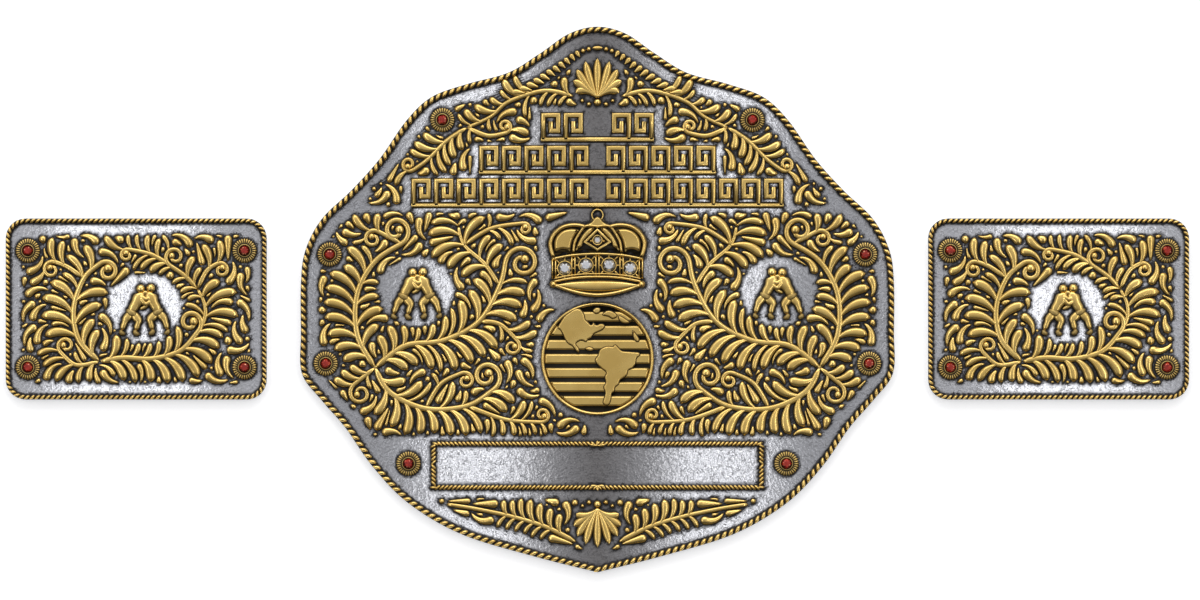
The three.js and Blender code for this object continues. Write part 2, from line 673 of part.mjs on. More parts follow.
function stemPath(knots, coil, coilUnit) {
  const curve = new THREE.SplineCurve(knots);
  const path = curve.getSpacedPoints(Math.max(3, Math.round(curve.getLength() / STEM_STEP_L)));
  if (!coil) return path;
  const [first, last, turns, side] = coil;
  const end = path[path.length - 1];
  const heading = end.clone().sub(path[path.length - 2]).angle();
  const radii = [first, last].map((share) => (share * coilUnit) / 100);
  return [...path, ...volute(end, heading, ...radii, turns, side)];
}

// The path's points that a faceted stem keeps: a bend or a long straight starts a new facet.
const FACET_TURN = 0.85;

function facets(path, knots) {
  const kept = [0];
  const nearest = knots.map((knot) => {
    const gaps = path.map((p) => p.distanceTo(knot));
    return gaps.indexOf(Math.min(...gaps));
  });
  let turned = 0;
  let length = 0;
  for (let i = 1; i < path.length - 1; i++) {
    const arriving = path[i].clone().sub(path[i - 1]);
    const leaving = path[i + 1].clone().sub(path[i]);
    turned += Math.abs(Math.atan2(arriving.cross(leaving), arriving.dot(leaving)));
    length += arriving.length();
    if (turned > FACET_TURN || length > FACET_L || nearest.includes(i)) {
      kept.push(i);
      turned = 0;
      length = 0;
    }
  }
  return [...kept, path.length - 1];
}

const LEAF_STEPS = 8;
const LEAF_FREE_SHARE = 0.42;
const LEAF_WIDEST = 0.72;
const LEAF_FACETS = [0, 5, 8];
const LEAF_SHRINK = 0.09;
const LEAF_THINNER = [1, 0.8, 0.62];

function leafHalfWidth(share, broad) {
  const grown = 0.25 + 0.75 * Math.sin((Math.min(share / LEAF_WIDEST, 1) * Math.PI) / 2) ** 1.3;
  const cap = Math.sqrt(Math.max(0, 1 - (Math.max(share - LEAF_WIDEST, 0) / (1 - LEAF_WIDEST)) ** 2));
  return broad * grown * cap;
}

// The longest leaf from a root that keeps clear of the walls and of the other relief.
function growLeaf(walls, relieved, root, heading, longest, curl, broad) {
  for (let scale = 1; longest * scale >= LEAF_LEAST_L; scale -= LEAF_SHRINK) {
    const spine = [root.clone()];
    for (let k = 0; k < LEAF_STEPS; k++) {
      const bearing = heading + (curl * (k + 0.5)) / LEAF_STEPS;
      const stride = (longest * scale) / LEAF_STEPS;
      const step = new THREE.Vector2(Math.cos(bearing) * stride, Math.sin(bearing) * stride);
      spine.push(spine[k].clone().add(step));
    }
    for (const thinner of LEAF_THINNER) {
      const widths = spine.map((_, k) => leafHalfWidth(k / LEAF_STEPS, broad * thinner));
      const fits = spine.every((p, k) => {
        if (k > 0 && walls.clearance(p) - widths[k] < WALL_GAP) return false;
        return k < LEAF_FREE_SHARE * LEAF_STEPS || relieved.clearance(p) - widths[k] >= LEAF_GAP;
      });
      if (fits) return { spine, widths };
    }
  }
  return null;
}

const STEM_START_SHARE = 0.6;
const BULB_TOP_SHARE = 0.4;
const BULB_SIDES = 7;
const LEAF_END_SIZE = 0.8;
const LEAF_SWELL = 0.35;
const LEAF_BROAD_LEAST = 0.98;
const LEAF_BROAD_SWELL = 0.17;

// Stems and their leaves. knotsOf turns a stem's points into points on the plate, coilUnit is the
// length that its volute's radii are hundredths of. No leaf crosses the outlines or enters a disc,
// which is a centre and a radius.
function scrollwork(stems, knotsOf, coilUnit, outlines, discs) {
  const walls = new Field();
  const relieved = new Field();
  outlines.forEach((outline) => walls.addWall(outline));
  discs.forEach(([centre, radius]) => walls.add([centre], [radius]));
  const pieces = [];
  const grown = stems.map(([style, from, to, points, coil]) => {
    const knots = knotsOf(points);
    const path = stemPath(knots, coil, coilUnit);
    const widths = path.map((_, i) => {
      const share = i / (path.length - 1);
      const taper = Math.min(1, STEM_START_SHARE + (i * STEM_STEP_L) / STEM_TAPER_L);
      return (style.root + (style.tip - style.root) * share) * taper;
    });
    const kept = facets(path, knots);
    const rises = kept.map(() => SCROLL_RISE);
    pieces.push(relief(kept.map((i) => path[i]), kept.map((i) => widths[i]), rises));
    relieved.add(path, widths);
    if (coil) {
      const end = path[path.length - 1];
      const top = style.bulb * BULB_TOP_SHARE;
      const bulb = new THREE.CylinderGeometry(top, style.bulb, SCROLL_RISE, BULB_SIDES);
      pieces.push(bulb.rotateX(Math.PI / 2).translate(end.x, end.y, SCROLL_RISE / 2));
      relieved.add([end], [style.bulb]);
    }
    return { style, from, to, path };
  });
  for (const { style, from, to, path } of grown) {
    const leafy = (to - from) * path.length * STEM_STEP_L;
    const count = Math.max(1, Math.round(leafy / (style.pitch * LEAF_SPACING)));
    for (let k = 0; k <= count; k++) {
      const i = Math.round((from + ((to - from) * k) / count) * (path.length - 2));
      const heading = path[i + 1].clone().sub(path[i]).angle();
      const size = LEAF_END_SIZE + LEAF_SWELL * Math.sin((Math.PI * (k + 0.5)) / (count + 1));
      const longest = style.leaf * size;
      const broad = style.broad * (LEAF_BROAD_LEAST + LEAF_BROAD_SWELL * size);
      for (const side of [1, -1]) {
        const away = heading + side * radians(style.angle);
        const curl = side * radians(style.curl);
        const leaf = growLeaf(walls, relieved, path[i], away, longest, curl, broad);
        if (!leaf) continue;
        relieved.add(leaf.spine.slice(2), leaf.widths.slice(2));
        const widths = LEAF_FACETS.map((n) => (n === 0 || n === LEAF_STEPS ? 0 : leaf.widths[n]));
        pieces.push(relief(LEAF_FACETS.map((n) => leaf.spine[n]), widths, widths.map(() => SCROLL_RISE)));
      }
    }
  }
  return pieces;
}

const rosetteWallR = ROSETTE_R + ROSETTE_CLEAR;
const rosetteDiscs = mirrored(mainRosettes).map((p) => [p, rosetteWallR]);
const globeDisc = [new THREE.Vector2(0, GLOBE_Y), GLOBE_R + GLOBE_CLEAR];

function box(x0, y0, x1, y1) {
  return [[x0, y0], [x1, y0], [x1, y1], [x0, y1]].map(([x, y]) => new THREE.Vector2(x, y));
}

// The figures' middles, in hundredths of their plate's half sizes, and the room kept round them.
const FIGURE_MAIN_PLACE = [61, 2.9];
const FIGURE_SIDE_PLACE = [6.5, 1.3];
const [figureMain] = shares([FIGURE_MAIN_PLACE], MAIN_HALF_W, MAIN_HALF_H);
const [figureSide] = shares([FIGURE_SIDE_PLACE], SIDE_HALF_W, SIDE_HALF_H);
const figureWallX = FIGURE_HALF + FIGURE_CLEAR_X;
const figureWallY = FIGURE_HALF + FIGURE_CLEAR_Y;

const nameTop = NAME_Y + NAME_HALF_H + NAME_TOP_CLEAR;
const nameFoot = NAME_Y - NAME_HALF_H - NAME_FOOT_CLEAR;
const crownHalf = shares(CROWN_OUTLINE, CROWN_HALF_W + CROWN_CLEAR, CROWN_H + CROWN_CLEAR);
const crownWall = [...crownHalf, ...mirrored(crownHalf).reverse()];
crownWall.forEach((p) => p.setY(p.y + CROWN_Y - CROWN_CLEAR));
const panelWalls = [
  edge,
  box(-MAIN_HALF_W, nameTop, 0, keyBottom),
  crownWall,
  ellipse(-figureMain.x, figureMain.y, figureWallX, figureWallY),
];
const panelDiscs = [globeDisc, ...rosetteDiscs];
const onPanel = (rows) => shares(rows, MAIN_HALF_W, MAIN_HALF_H);
const leftPanel = fuse(scrollwork(PANEL_STEMS, onPanel, MAIN_HALF_W, panelWalls, panelDiscs));
place("left_scroll", leftPanel, gold);
place("right_scroll", mirrorX(leftPanel), gold);

const keyWalls = KEY_ROWS.map(([, count, middleGap, y]) => {
  const reach = (count * KEY_PITCH + middleGap) / 2 + KEY_END_CLEAR;
  return box(-reach, y - keyClear, reach, y + keyClear);
});
const onCrest = (rows) => inRoom(rows, keyTop, crestRoom);
const crestHalf = scrollwork(CREST_STEMS, onCrest, crestRoom, [edge, ...keyWalls], rosetteDiscs);
place("crest_scroll", fuse([...crestHalf, ...crestHalf.map(mirrorX)]), gold);

const footRoom = MAIN_HALF_H - EDGE_INSET + nameFoot;
const onFoot = (rows) => inRoom(rows, nameFoot, footRoom);
const footWalls = [edge, box(-MAIN_HALF_W, nameFoot, MAIN_HALF_W, 0)];
const footHalf = scrollwork(FOOT_STEMS, onFoot, footRoom, footWalls, []);
place("foot_scroll", fuse([...footHalf, ...footHalf.map(mirrorX)]), gold);

const sideWalls = [
  inset(sideOutline, SIDE_EDGE_INSET),
  ellipse(figureSide.x, figureSide.y, figureWallX, figureWallY),
];
const sideRosettes = shares(SIDE_ROSETTES, SIDE_HALF_W, SIDE_HALF_H);
const sideDiscs = [...sideRosettes, ...mirrored(sideRosettes)].map((p) => [p, rosetteWallR]);
const onSide = (rows) => shares(rows, SIDE_HALF_W, SIDE_HALF_H);
const sidePanel = fuse(scrollwork(SIDE_STEMS, onSide, SIDE_HALF_W, sideWalls, sideDiscs));
place("left_plate_scroll", sidePanel, gold, -sideX, -SIDE_DROP);
place("right_plate_scroll", sidePanel.clone(), gold, sideX, -SIDE_DROP);

// Two plain figures leaning into each other with locked arms: [x, y, half width] in hundredths of
// the figures' half size.
const FIGURE_LIMBS = [
  [[-42, -18, 10], [-15, 36, 12], [-12, 55, 6]],
  [[-42, -16, 10], [-20, -40, 7], [-30, -80, 5]],
  [[-42, -16, 10], [-62, -38, 7], [-76, -76, 5]],
  [[-16, 34, 6], [6, 12, 5], [26, 28, 4]],
  [[42, -16, 10], [19, 36, 12], [20, 57, 6]],
  [[42, -14, 10], [18, -38, 7], [26, -80, 5]],
  [[42, -14, 10], [64, -36, 7], [76, -76, 5]],
  [[20, 36, 6], [4, 30, 5], [-18, 40, 4]],
];
const FIGURE_HEADS = [[-13, 60], [20, 62]];
const FIGURE_HEAD_R = 1.9;
const FIGURE_HEAD_TOP_R = 0.95;
const HEAD_SIDES = 6;

function figures() {
  const half = FIGURE_HALF;
  const pieces = FIGURE_LIMBS.map((rows) => swell(rows, half, half, half, FIGURE_RISE));
  for (const p of shares(FIGURE_HEADS, half, half)) {
    const head = new THREE.CylinderGeometry(FIGURE_HEAD_TOP_R, FIGURE_HEAD_R, FIGURE_RISE, HEAD_SIDES);
    pieces.push(head.rotateX(Math.PI / 2).translate(p.x, p.y, FIGURE_RISE / 2));
  }
  return fuse(pieces);
}
const pair = figures();
place("wrestlers_main_left", pair, gold, -figureMain.x, figureMain.y);
place("wrestlers_main_right", mirrorX(pair), gold, figureMain.x, figureMain.y);
place("wrestlers_left", pair.clone(), gold, figureSide.x - sideX, figureSide.y - SIDE_DROP);
place("wrestlers_right", pair.clone(), gold, figureSide.x + sideX, figureSide.y - SIDE_DROP);

export default belt;
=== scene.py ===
# %% [markdown]
# # The plates of a championship title belt
# Three cast plates lie on their backs: a shield-shaped centre plate between two oblong side plates.
# Each is hammered silver with raised gold ornament and a twisted rope round its edge. The packed
# solids give every size and place. This script lays the real surfaces over them: it could sculpt
# them by hand, but every form here is a formula on a grid, so it can be read, changed and repeated.

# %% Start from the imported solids
import math

import bmesh
import bpy
import numpy as np
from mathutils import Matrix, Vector
from mathutils.geometry import tessellate_polygon


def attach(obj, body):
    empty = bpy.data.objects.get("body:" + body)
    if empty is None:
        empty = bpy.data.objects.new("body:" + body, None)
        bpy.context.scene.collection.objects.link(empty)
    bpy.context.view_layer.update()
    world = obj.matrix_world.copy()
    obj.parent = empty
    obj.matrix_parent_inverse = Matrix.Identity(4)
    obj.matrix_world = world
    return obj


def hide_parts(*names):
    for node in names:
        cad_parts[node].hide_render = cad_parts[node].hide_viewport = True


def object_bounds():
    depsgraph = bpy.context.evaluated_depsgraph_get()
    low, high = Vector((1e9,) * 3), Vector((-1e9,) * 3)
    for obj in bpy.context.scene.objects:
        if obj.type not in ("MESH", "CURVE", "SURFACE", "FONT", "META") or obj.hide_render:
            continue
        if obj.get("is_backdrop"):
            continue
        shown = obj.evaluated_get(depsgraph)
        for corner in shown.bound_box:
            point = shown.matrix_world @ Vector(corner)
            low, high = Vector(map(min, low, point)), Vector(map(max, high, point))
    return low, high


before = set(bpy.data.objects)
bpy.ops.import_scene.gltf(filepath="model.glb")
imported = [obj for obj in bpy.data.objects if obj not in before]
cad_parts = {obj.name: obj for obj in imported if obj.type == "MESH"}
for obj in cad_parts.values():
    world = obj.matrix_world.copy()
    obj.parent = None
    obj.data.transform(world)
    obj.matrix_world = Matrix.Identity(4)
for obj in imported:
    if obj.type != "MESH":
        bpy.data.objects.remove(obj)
cad_low, cad_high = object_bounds()
MM = 0.001
BODY = "root"
print("solids' box in mm:", [round((h - l) / MM, 1) for l, h in zip(cad_low, cad_high)])

# %% [markdown]
# ## Sizes
# All lengths are in millimetres, as a maker of plates would note them, and the tables of points
# are hundredths of a plate's half sizes. They repeat the solids' sizes, because the surfaces have
# to lie where the solids are. FACE is the height of the plates' faces. REVEAL is how far the silver
# stays inside the rope's outer edge, and SUNK is how deep every form reaches into its plate.

# %% Sizes of plates and edges
MAIN_HALF = np.array([150.0, 138.0])
SIDE_HALF = np.array([66.0, 45.8])
SIDE_CORNER = 10.0
SIDE_X = 233.3
SIDE_Y = -4.8
SIDES = ((-1, "left"), (1, "right"))
FACE = 4.0
REVEAL = 0.5
SUNK = 0.35
MAIN_ROPE_W = 3.0
SIDE_ROPE_W = 2.4
ROPE_RISE = 2.4
MAIN_OUTLINE = [
    [0, 100], [9.5, 97.5], [19, 90.5], [30, 83.2], [44, 79], [56, 74.2], [64.5, 65.5], [73.5, 51.5],
    [83, 40], [93, 29.5], [98.5, 18], [100, 6], [100, -12], [99.7, -27], [93, -37], [85, -47],
    [76, -61], [64, -74.5], [46, -86], [22, -94], [0, -100],
]


# %% Curves: smoothing, even spacing, tangents
def smooth(points, per=8, closed=False):
    """Catmull-Rom: between two points, a cubic whose slope at each is half the step between its
    neighbours. An open curve repeats its end points."""
    p = np.asarray(points, float)
    ends = (p[-1:], p[:2]) if closed else (p[:1], p[-1:])
    q = np.vstack([ends[0], p, ends[1]])
    t = np.linspace(0, 1, per, endpoint=False)[None, :, None]
    a, b, c, d = (q[i : len(q) - 3 + i][:, None] for i in range(4))
    spans = 2 * b + (c - a) * t + (2 * a - 5 * b + 4 * c - d) * t**2 + (3 * b - a - 3 * c + d) * t**3
    curve = (spans / 2).reshape(-1, p.shape[1])
    return curve if closed else np.vstack([curve, p[-1:]])


def arc(path):
    """Length along a path at each of its points."""
    return np.concatenate([[0], np.cumsum(np.linalg.norm(np.diff(path, axis=0), axis=1))])


def sample(path, lengths, at):
    """The points of a path at some lengths along it."""
    return np.stack([np.interp(at, lengths, column) for column in path.T], -1)


def even(path, step, closed=False):
    """The same path with points about one step apart."""
    p = np.vstack([path, path[:1]]) if closed else path
    s = arc(p)
    count = max(2, int(round(s[-1] / step)) + 1)
    q = np.linspace(0, s[-1], count)
    out = sample(p, s, q)
    return out[:-1] if closed else out


def along(path, closed=False):
    """Unit tangent at each point: the direction from the point before to the point after."""
    if closed:
        d = np.roll(path, -1, 0) - np.roll(path, 1, 0)
    else:
        d = np.gradient(path, axis=0)
    return d / np.maximum(np.linalg.norm(d, axis=1), 1e-9)[:, None]


def left_of(tangent):
    return np.stack([-tangent[:, 1], tangent[:, 0]], 1)


def inset(outline, distance):
    """A closed anticlockwise outline moved inwards, each point along its own normal."""
    return outline + left_of(along(outline, closed=True)) * distance


def pointing(bearing):
    """Unit vectors at bearings in radians, anticlockwise from +X."""
    return np.stack([np.cos(bearing), np.sin(bearing)], -1)


def at_heights(rings, heights):
    """Rings of points in the plane, each set at its height over the plates' faces."""
    return [np.column_stack([ring, np.full(len(ring), FACE + z)]) for ring, z in zip(rings, heights)]


def full_turn(count):
    return np.linspace(0, 2 * math.pi, count, endpoint=False)


def circle(x, y, radius_x, radius_y=None, count=36):
    return pointing(full_turn(count)) * [radius_x, radius_y or radius_x] + [x, y]


def shares(rows, unit):
    return np.asarray(rows, float) / 100 * unit


right_half = shares(MAIN_OUTLINE, MAIN_HALF)
# From the pointed foot up the right side and down the left, so that the point stays sharp.
main_knots = np.vstack([right_half[::-1], right_half[1:] * [-1, 1]])
main_outline = smooth(main_knots)[:-1]
corner = (SIDE_HALF - SIDE_CORNER) + SIDE_CORNER * pointing(np.linspace(0, math.pi / 2, 9))
side_outline = np.vstack([
    corner, corner[::-1] * [-1, 1], corner * [-1, -1], corner[::-1] * [1, -1],
])
print("outline points:", len(main_outline), len(side_outline))

# %% [markdown]
# ## From grids to castings
# A cast relief has no thin shells: every lump rises from the plate and its foot runs into it. Each
# form below is a grid of rows along it and columns across it, closed underneath and sunk a little
# into the plate. A casting collects many of them and makes one mesh. It also keeps a tone for each
# point, from 0 on the rubbed tops to 1 in the blackened creases, which the gold finish reads. The
# tone is partly the black of antiquing in the creases and partly painted shade down the walls.


# %% Collect grids and make a mesh
WELD = 1e-7


class Casting:
    """Points in millimetres with a tone each, and the faces between them."""

    def __init__(self):
        self.points, self.tones, self.faces, self.total = [], [], [], 0

    def add(self, points, tones, faces):
        self.faces.append(np.asarray(faces) + self.total)
        self.points.append(points)
        self.tones.append(tones)
        self.total += len(points)

    def grid(self, points, tones, loop_along=False, loop_across=True):
        """Quads between neighbours; columns run from a form's left to its right, so they face up."""
        n, m = points.shape[:2]
        index = np.arange(n * m).reshape(n, m)
        if loop_along:
            index = np.vstack([index, index[:1]])
        if loop_across:
            index = np.hstack([index, index[:, :1]])
        quads = np.stack([index[:-1, :-1], index[:-1, 1:], index[1:, 1:], index[1:, :-1]], -1)
        tones = np.broadcast_to(tones, (n, m))
        self.add(points.reshape(-1, 3), tones.reshape(-1), quads.reshape(-1, 4))

    def cap(self, loops, height, tone, up=True):
        """A flat face over an outline of any shape, with holes if more loops follow, cut into
        triangles that all turn one way."""
        rings = [np.column_stack([loop, np.full(len(loop), height)]) for loop in loops]
        tris = np.array(tessellate_polygon([[Vector(p) for p in ring] for ring in rings]))
        ring = np.vstack(rings)
        a, b, c = (ring[tris[:, k], :2] for k in range(3))
        turn = (b[:, 0] - a[:, 0]) * (c[:, 1] - a[:, 1]) - (b[:, 1] - a[:, 1]) * (c[:, 0] - a[:, 0])
        tris = np.where(((turn > 0) == up)[:, None], tris, tris[:, ::-1])
        self.add(ring, np.full(len(ring), tone), np.column_stack([tris, tris[:, -1]]))

    def join(self, other, flip=False, shift=(0, 0)):
        """The forms of another casting, moved, or mirrored left to right with their faces turned."""
        for points, tones, faces in zip(other.points, other.tones, other.faces):
            base = faces - faces.min()
            moved = points * [-1 if flip else 1, 1, 1] + [shift[0], shift[1], 0]
            self.add(moved, tones, base[:, [1, 0, 3, 2]] if flip else base)

    def make(self, name, material, slot, *nodes, facets=None):
        """One object of all the forms, welded where points meet, riding on the plates' body. Cut
        stones have flat facets, each with its own tone."""
        points = np.vstack(self.points) * MM
        tones = np.concatenate(self.tones)
        quads = np.vstack(self.faces)
        mesh = bpy.data.meshes.new(name)
        three = quads[:, 2] == quads[:, 3]
        sizes = np.where(three, 3, 4)
        corners = quads.ravel()[~(np.arange(quads.size) % 4 == 3) | ~np.repeat(three, 4)]
        mesh.vertices.add(len(points))
        mesh.vertices.foreach_set("co", points.ravel())
        mesh.loops.add(len(corners))
        mesh.loops.foreach_set("vertex_index", corners.astype(np.int32))
        mesh.polygons.add(len(quads))
        starts = np.concatenate([[0], np.cumsum(sizes)[:-1]])
        mesh.polygons.foreach_set("loop_start", starts.astype(np.int32))
        mesh.update(calc_edges=True)
        values = tones if facets is None else np.asarray(facets)
        domain = "POINT" if facets is None else "FACE"
        mesh.attributes.new("tone", "FLOAT", domain).data.foreach_set("value", values.astype(np.float32))
        if facets is None:
            work = bmesh.new()
            work.from_mesh(mesh)
            bmesh.ops.remove_doubles(work, verts=work.verts, dist=WELD)
            work.to_mesh(mesh)
            work.free()
        mesh.polygons.foreach_set("use_smooth", np.full(len(mesh.polygons), facets is None))
        mesh.materials.append(material)
        piece = bpy.data.objects.new(name, mesh)
        bpy.context.scene.collection.objects.link(piece)
        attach(piece, BODY)
        if nodes:
            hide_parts(*nodes)
        edges = np.empty(len(mesh.loops), np.int32)
        mesh.loops.foreach_get("edge_index", edges)
        open_edges = (np.bincount(edges) != 2).sum()
        print(name, len(mesh.loops) - 2 * len(mesh.polygons), "triangles,", open_edges, "open edges")
        return piece


# %% [markdown]
# ## Cross sections
# Leaves, stems and limbs on such a plate are plump: a dark step at the foot, a short steep wall and
# a round back. A subdivided cage would round them too, but a cross section carried along a path
# gives the foot its sharp dark line, which is what makes the ornament read from a distance.

# %% Carry a cross section along a path
# The flange is the dark step at the foot: its width, its share of a section's rise, and its
# height under flat-topped forms.
FLANGE = 0.3
FLANGE_SHARE = 0.06
FLANGE_H = 0.06
# A section's columns: share of the half width, share of the rise, tone. The tones make each foot
# black, partly antiquing and partly painted shade, and paint shade down the walls.
PLUMP = [
    [1.0, 0.02, 1.0], [0.97, 0.4, 0.8], [0.86, 0.68, 0.48], [0.62, 0.89, 0.14], [0.3, 0.98, 0.0],
    [0.0, 1.0, 0.0],
]
SMALL = [[1.0, 0.02, 1.0], [0.94, 0.5, 0.6], [0.62, 0.89, 0.06], [0.0, 1.0, 0.0]]
STROKE = [[1.0, 0.02, 1.0], [0.99, 0.6, 0.6], [0.78, 0.95, 0.06], [0.7, 1.0, 0.12], [0.0, 1.0, 0.02]]
PILLOW = [[1.0, 0.02, 1.0], [0.98, 0.4, 0.6], [0.74, 0.9, 0.05], [0.62, 1.0, 0.0], [0.0, 1.0, 0.0]]


def section_columns(section):
    """Both halves of a section with its flange: side, share out, flange, share up, sunk, tone."""
    half = [[1, 1, 0, -1, 1], [1, 1, FLANGE_SHARE, 0, 1]]
    half += [[out, 0, up, 0, tone] for out, up, tone in section]
    both = [[1, *row] for row in half] + [[-1, *row] for row in half[-2::-1]]
    return np.array(both, float)


def carry(casting, path, half, rise, section=PLUMP, lift=0.0, closed=False, mitre=False, shade=0.0,
          flange=FLANGE):
    """A form along a path: each column stands its share of the half width to one side, plus the
    flange, and its share of the rise over the face. Where the half width is 0, it ends in a point."""
    path = np.asarray(path, float)
    columns = section_columns(section)
    tangent = along(path, closed)
    half = np.broadcast_to(np.asarray(half, float), len(path))
    rise = np.broadcast_to(np.asarray(rise, float), len(path))
    if mitre:
        step = np.diff(path, axis=0, append=path[:1])
        if not closed:
            step[-1] = step[-2]
        step /= np.linalg.norm(step, axis=1)[:, None]
        before = np.roll(step, 1, 0)
        if not closed:
            before[0] = step[0]
        tangent = before + step
        tangent /= np.linalg.norm(tangent, axis=1)[:, None]
        half = half / np.maximum(0.5, (tangent * step).sum(1))
    side = left_of(tangent)
    open_share = np.minimum(1, half / flange)
    out = columns[:, 0] * (columns[:, 1] * half[:, None] + columns[:, 2] * flange * open_share[:, None])
    up = columns[:, 3] * rise[:, None] + lift * (columns[:, 3] > 0.3) - SUNK * (columns[:, 4] < 0)
    points = np.empty((len(path), len(columns), 3))
    points[..., :2] = path[:, None] + side[:, None] * out[..., None]
    points[..., 2] = FACE + up
    casting.grid(points, np.maximum(columns[None, :, 5], shade), loop_along=closed)
    if not closed and half[0] > 0.01:
        casting.add(points[0], columns[:, 5], end_faces(len(columns), True))
    if not closed and half[-1] > 0.01:
        casting.add(points[-1], columns[:, 5], end_faces(len(columns), False))


def end_faces(count, start):
    """Quads that close a section's end: each column's partner is the one as far from the right."""
    a = np.arange((count + 1) // 2)
    b = count - 1 - a
    first, second = (a, b) if start else (b, a)
    return np.stack([first[:-1], second[:-1], second[1:], first[1:]], 1)


def slab(casting, outline, rise, bevel, base=0.0, origin=(0, 0), tone=0.0):
    """A flat-topped form: its outline, a wall, a bevel and a cap. The rings are the outline moved
    out by the flange and in by the bevel."""
    ring = np.asarray(outline, float) + origin
    area = (ring[:, 0] * np.roll(ring[:, 1], -1) - np.roll(ring[:, 0], -1) * ring[:, 1]).sum()
    if area < 0:
        ring = ring[::-1]
    # Each ring: move, height and tone; the darker wall tones are painted shade.
    stack = [
        (-FLANGE, -SUNK, 1), (-FLANGE, base + FLANGE_H, 1), (0, base + 0.04, 1),
        (0.02, rise - bevel, 0.62), (bevel, rise, 0.1), (bevel * 1.4, rise, tone),
    ]
    moves, heights, tones = zip(*stack)
    rings = at_heights([inset(ring, d) for d in moves], heights)
    casting.grid(np.stack(rings), np.array(tones)[:, None])
    casting.cap([rings[-1][:, :2]], FACE + rise, tone)
    casting.cap([rings[0][:, :2]], FACE - SUNK, 1, up=False)


def turned(casting, profile, x, y, sides, ripple=None):
    """A turned form: a profile of [radius, height, tone] swept round a centre, from its sunk middle
    out and back over the top. ripple(radius, angle) is added to the height and darkens where it
    is below 0."""
    radius, height, tone = np.asarray(profile, float).T[..., None]
    turn = full_turn(sides)
    points = np.empty((len(radius), sides, 3))
    points[..., :2] = radius[..., None] * pointing(turn) + [x, y]
    points[..., 2] = FACE + height
    if ripple is not None:
        wave = ripple(radius, turn[None, :])
        points[..., 2] += wave
        tone = np.clip(tone - 2.6 * np.minimum(wave, 0), 0, 1)
    casting.grid(points, tone)


def knob(casting, x, y, collar, radius, base, rise, tone, sides, steps=5):
    """A half ball of a radius and a rise over its base, turned with the dark rings of a collar round
    its foot. Each ring of the collar is [radius, height]."""
    profile = [[0, -SUNK, 1], [collar[0][0], -SUNK, 1]] + [[*ring, 1] for ring in collar]
    for angle in np.linspace(0, math.pi / 2, steps):
        profile.append([radius * math.cos(angle), base + rise * math.sin(angle), tone * (angle == 0)])
    turned(casting, profile, x, y, sides)


# %% [markdown]
# ## Finishes
# Shader nodes are written as sums here. One small class stands for a socket, so that noise * 0.2
# + 0.5 reads as it works. The gold is a plated, antiqued casting: rubbed bright on top, brown-black
# in the creases, and its walls darkened with painted shade. Real plates are gently bent, which draws
# bright bands across their silver. These are flat, so that they lie on a table, and a long slow wave
# in each finish draws the bands.


# %% A socket that can be added and multiplied
class Wire:
    """One output of a node. Arithmetic on it adds Math nodes to the same tree."""

    def __init__(self, tree, socket):
        self.tree, self.socket = tree, socket

    def node(self, kind, settings=None, inputs=None, output=0):
        """Adds a node: its settings first, then the values or links of its sockets."""
        made = self.tree.nodes.new(kind)
        for key, value in (settings or {}).items():
            if key == "stops":
                ramp = made.color_ramp
                while len(ramp.elements) < len(value):
                    ramp.elements.new(0.5)
                for element, (place, shade) in zip(ramp.elements, value):
                    element.position, element.color = place, shade
            else:
                setattr(made, key, value)
        for key, value in (inputs or {}).items():
            if isinstance(value, Wire):
                self.tree.links.new(value.socket, made.inputs[key])
            else:
                made.inputs[key].default_value = value
        return Wire(self.tree, made.outputs[output])

    def math(self, operation, *values, clamp=False):
        settings = {"operation": operation, "use_clamp": clamp}
        return self.node("ShaderNodeMath", settings, dict(enumerate(values)))

    def __add__(self, other):
        return self.math("ADD", self, other)

    def __mul__(self, other):
        return self.math("MULTIPLY", self, other)

    def __sub__(self, other):
        return self.math("SUBTRACT", self, other)

    def __rsub__(self, other):
        return self.math("SUBTRACT", other, self)

    def __pow__(self, other):
        return self.math("POWER", self, other)

    __radd__ = __add__
    __rmul__ = __mul__

    def clamped(self):
        return self.math("ADD", self, 0.0, clamp=True)

    def step(self, low, high):
        """0 below low, 1 above high and an even slope between."""
        inputs = {0: self, 1: low, 2: high, 3: 0.0, 4: 1.0}
        return self.node("ShaderNodeMapRange", {"clamp": True}, inputs)

    def blend(self, first, second):
        """A colour between two, with this wire as the factor."""
        inputs = {0: self, 6: first, 7: second}
        return self.node("ShaderNodeMix", {"data_type": "RGBA"}, inputs, output=2)


def finish(name, **constants):
    """An empty material with a Principled shader: its constants are set on the sockets."""
    material = bpy.data.materials.new(name)
    material.use_nodes = True
    shader = material.node_tree.nodes["Principled BSDF"]
    for key, value in constants.items():
        shader.inputs[key.replace("_", " ")].default_value = value
    start = Wire(material.node_tree, None)
    place = start.node("ShaderNodeTexCoord", output=3)
    metres_to_mm = {"operation": "SCALE"}
    place = start.node("ShaderNodeVectorMath", metres_to_mm, {0: place, 3: 1 / MM})
    return material, shader, place


def feed(shader, socket, wire):
    wire.tree.links.new(wire.socket, shader.inputs[socket])


def noise(place, scale, detail=2.0, roughness=0.5):
    """Soft random values round 0.5, with forms about 1 / scale millimetres wide."""
    inputs = {"Vector": place, "Scale": scale, "Detail": detail, "Roughness": roughness}
    return place.node("ShaderNodeTexNoise", {}, inputs)


def tone_of(place):
    """The tone that each casting keeps for its points or facets."""
    return place.node("ShaderNodeAttribute", {"attribute_name": "tone"}, output=2)


def lean(place, centre, steepest):
    """A long wave across the plate: its height in mm is steepest x length x cos(distance from the
    middle line / length), so the surface leans most a quarter wave out and is level at the edge."""
    x = place.node("ShaderNodeSeparateXYZ", {}, {0: place})
    turned_by = (x - centre) * (1 / WAVE_LENGTH)
    return turned_by.math("COSINE", turned_by) * (steepest * WAVE_LENGTH)


def bump(height, strength, distance_mm, normal=None):
    inputs = {"Strength": strength, "Distance": distance_mm * MM, "Height": height}
    if normal:
        inputs["Normal"] = normal
    return height.node("ShaderNodeBump", {}, inputs)


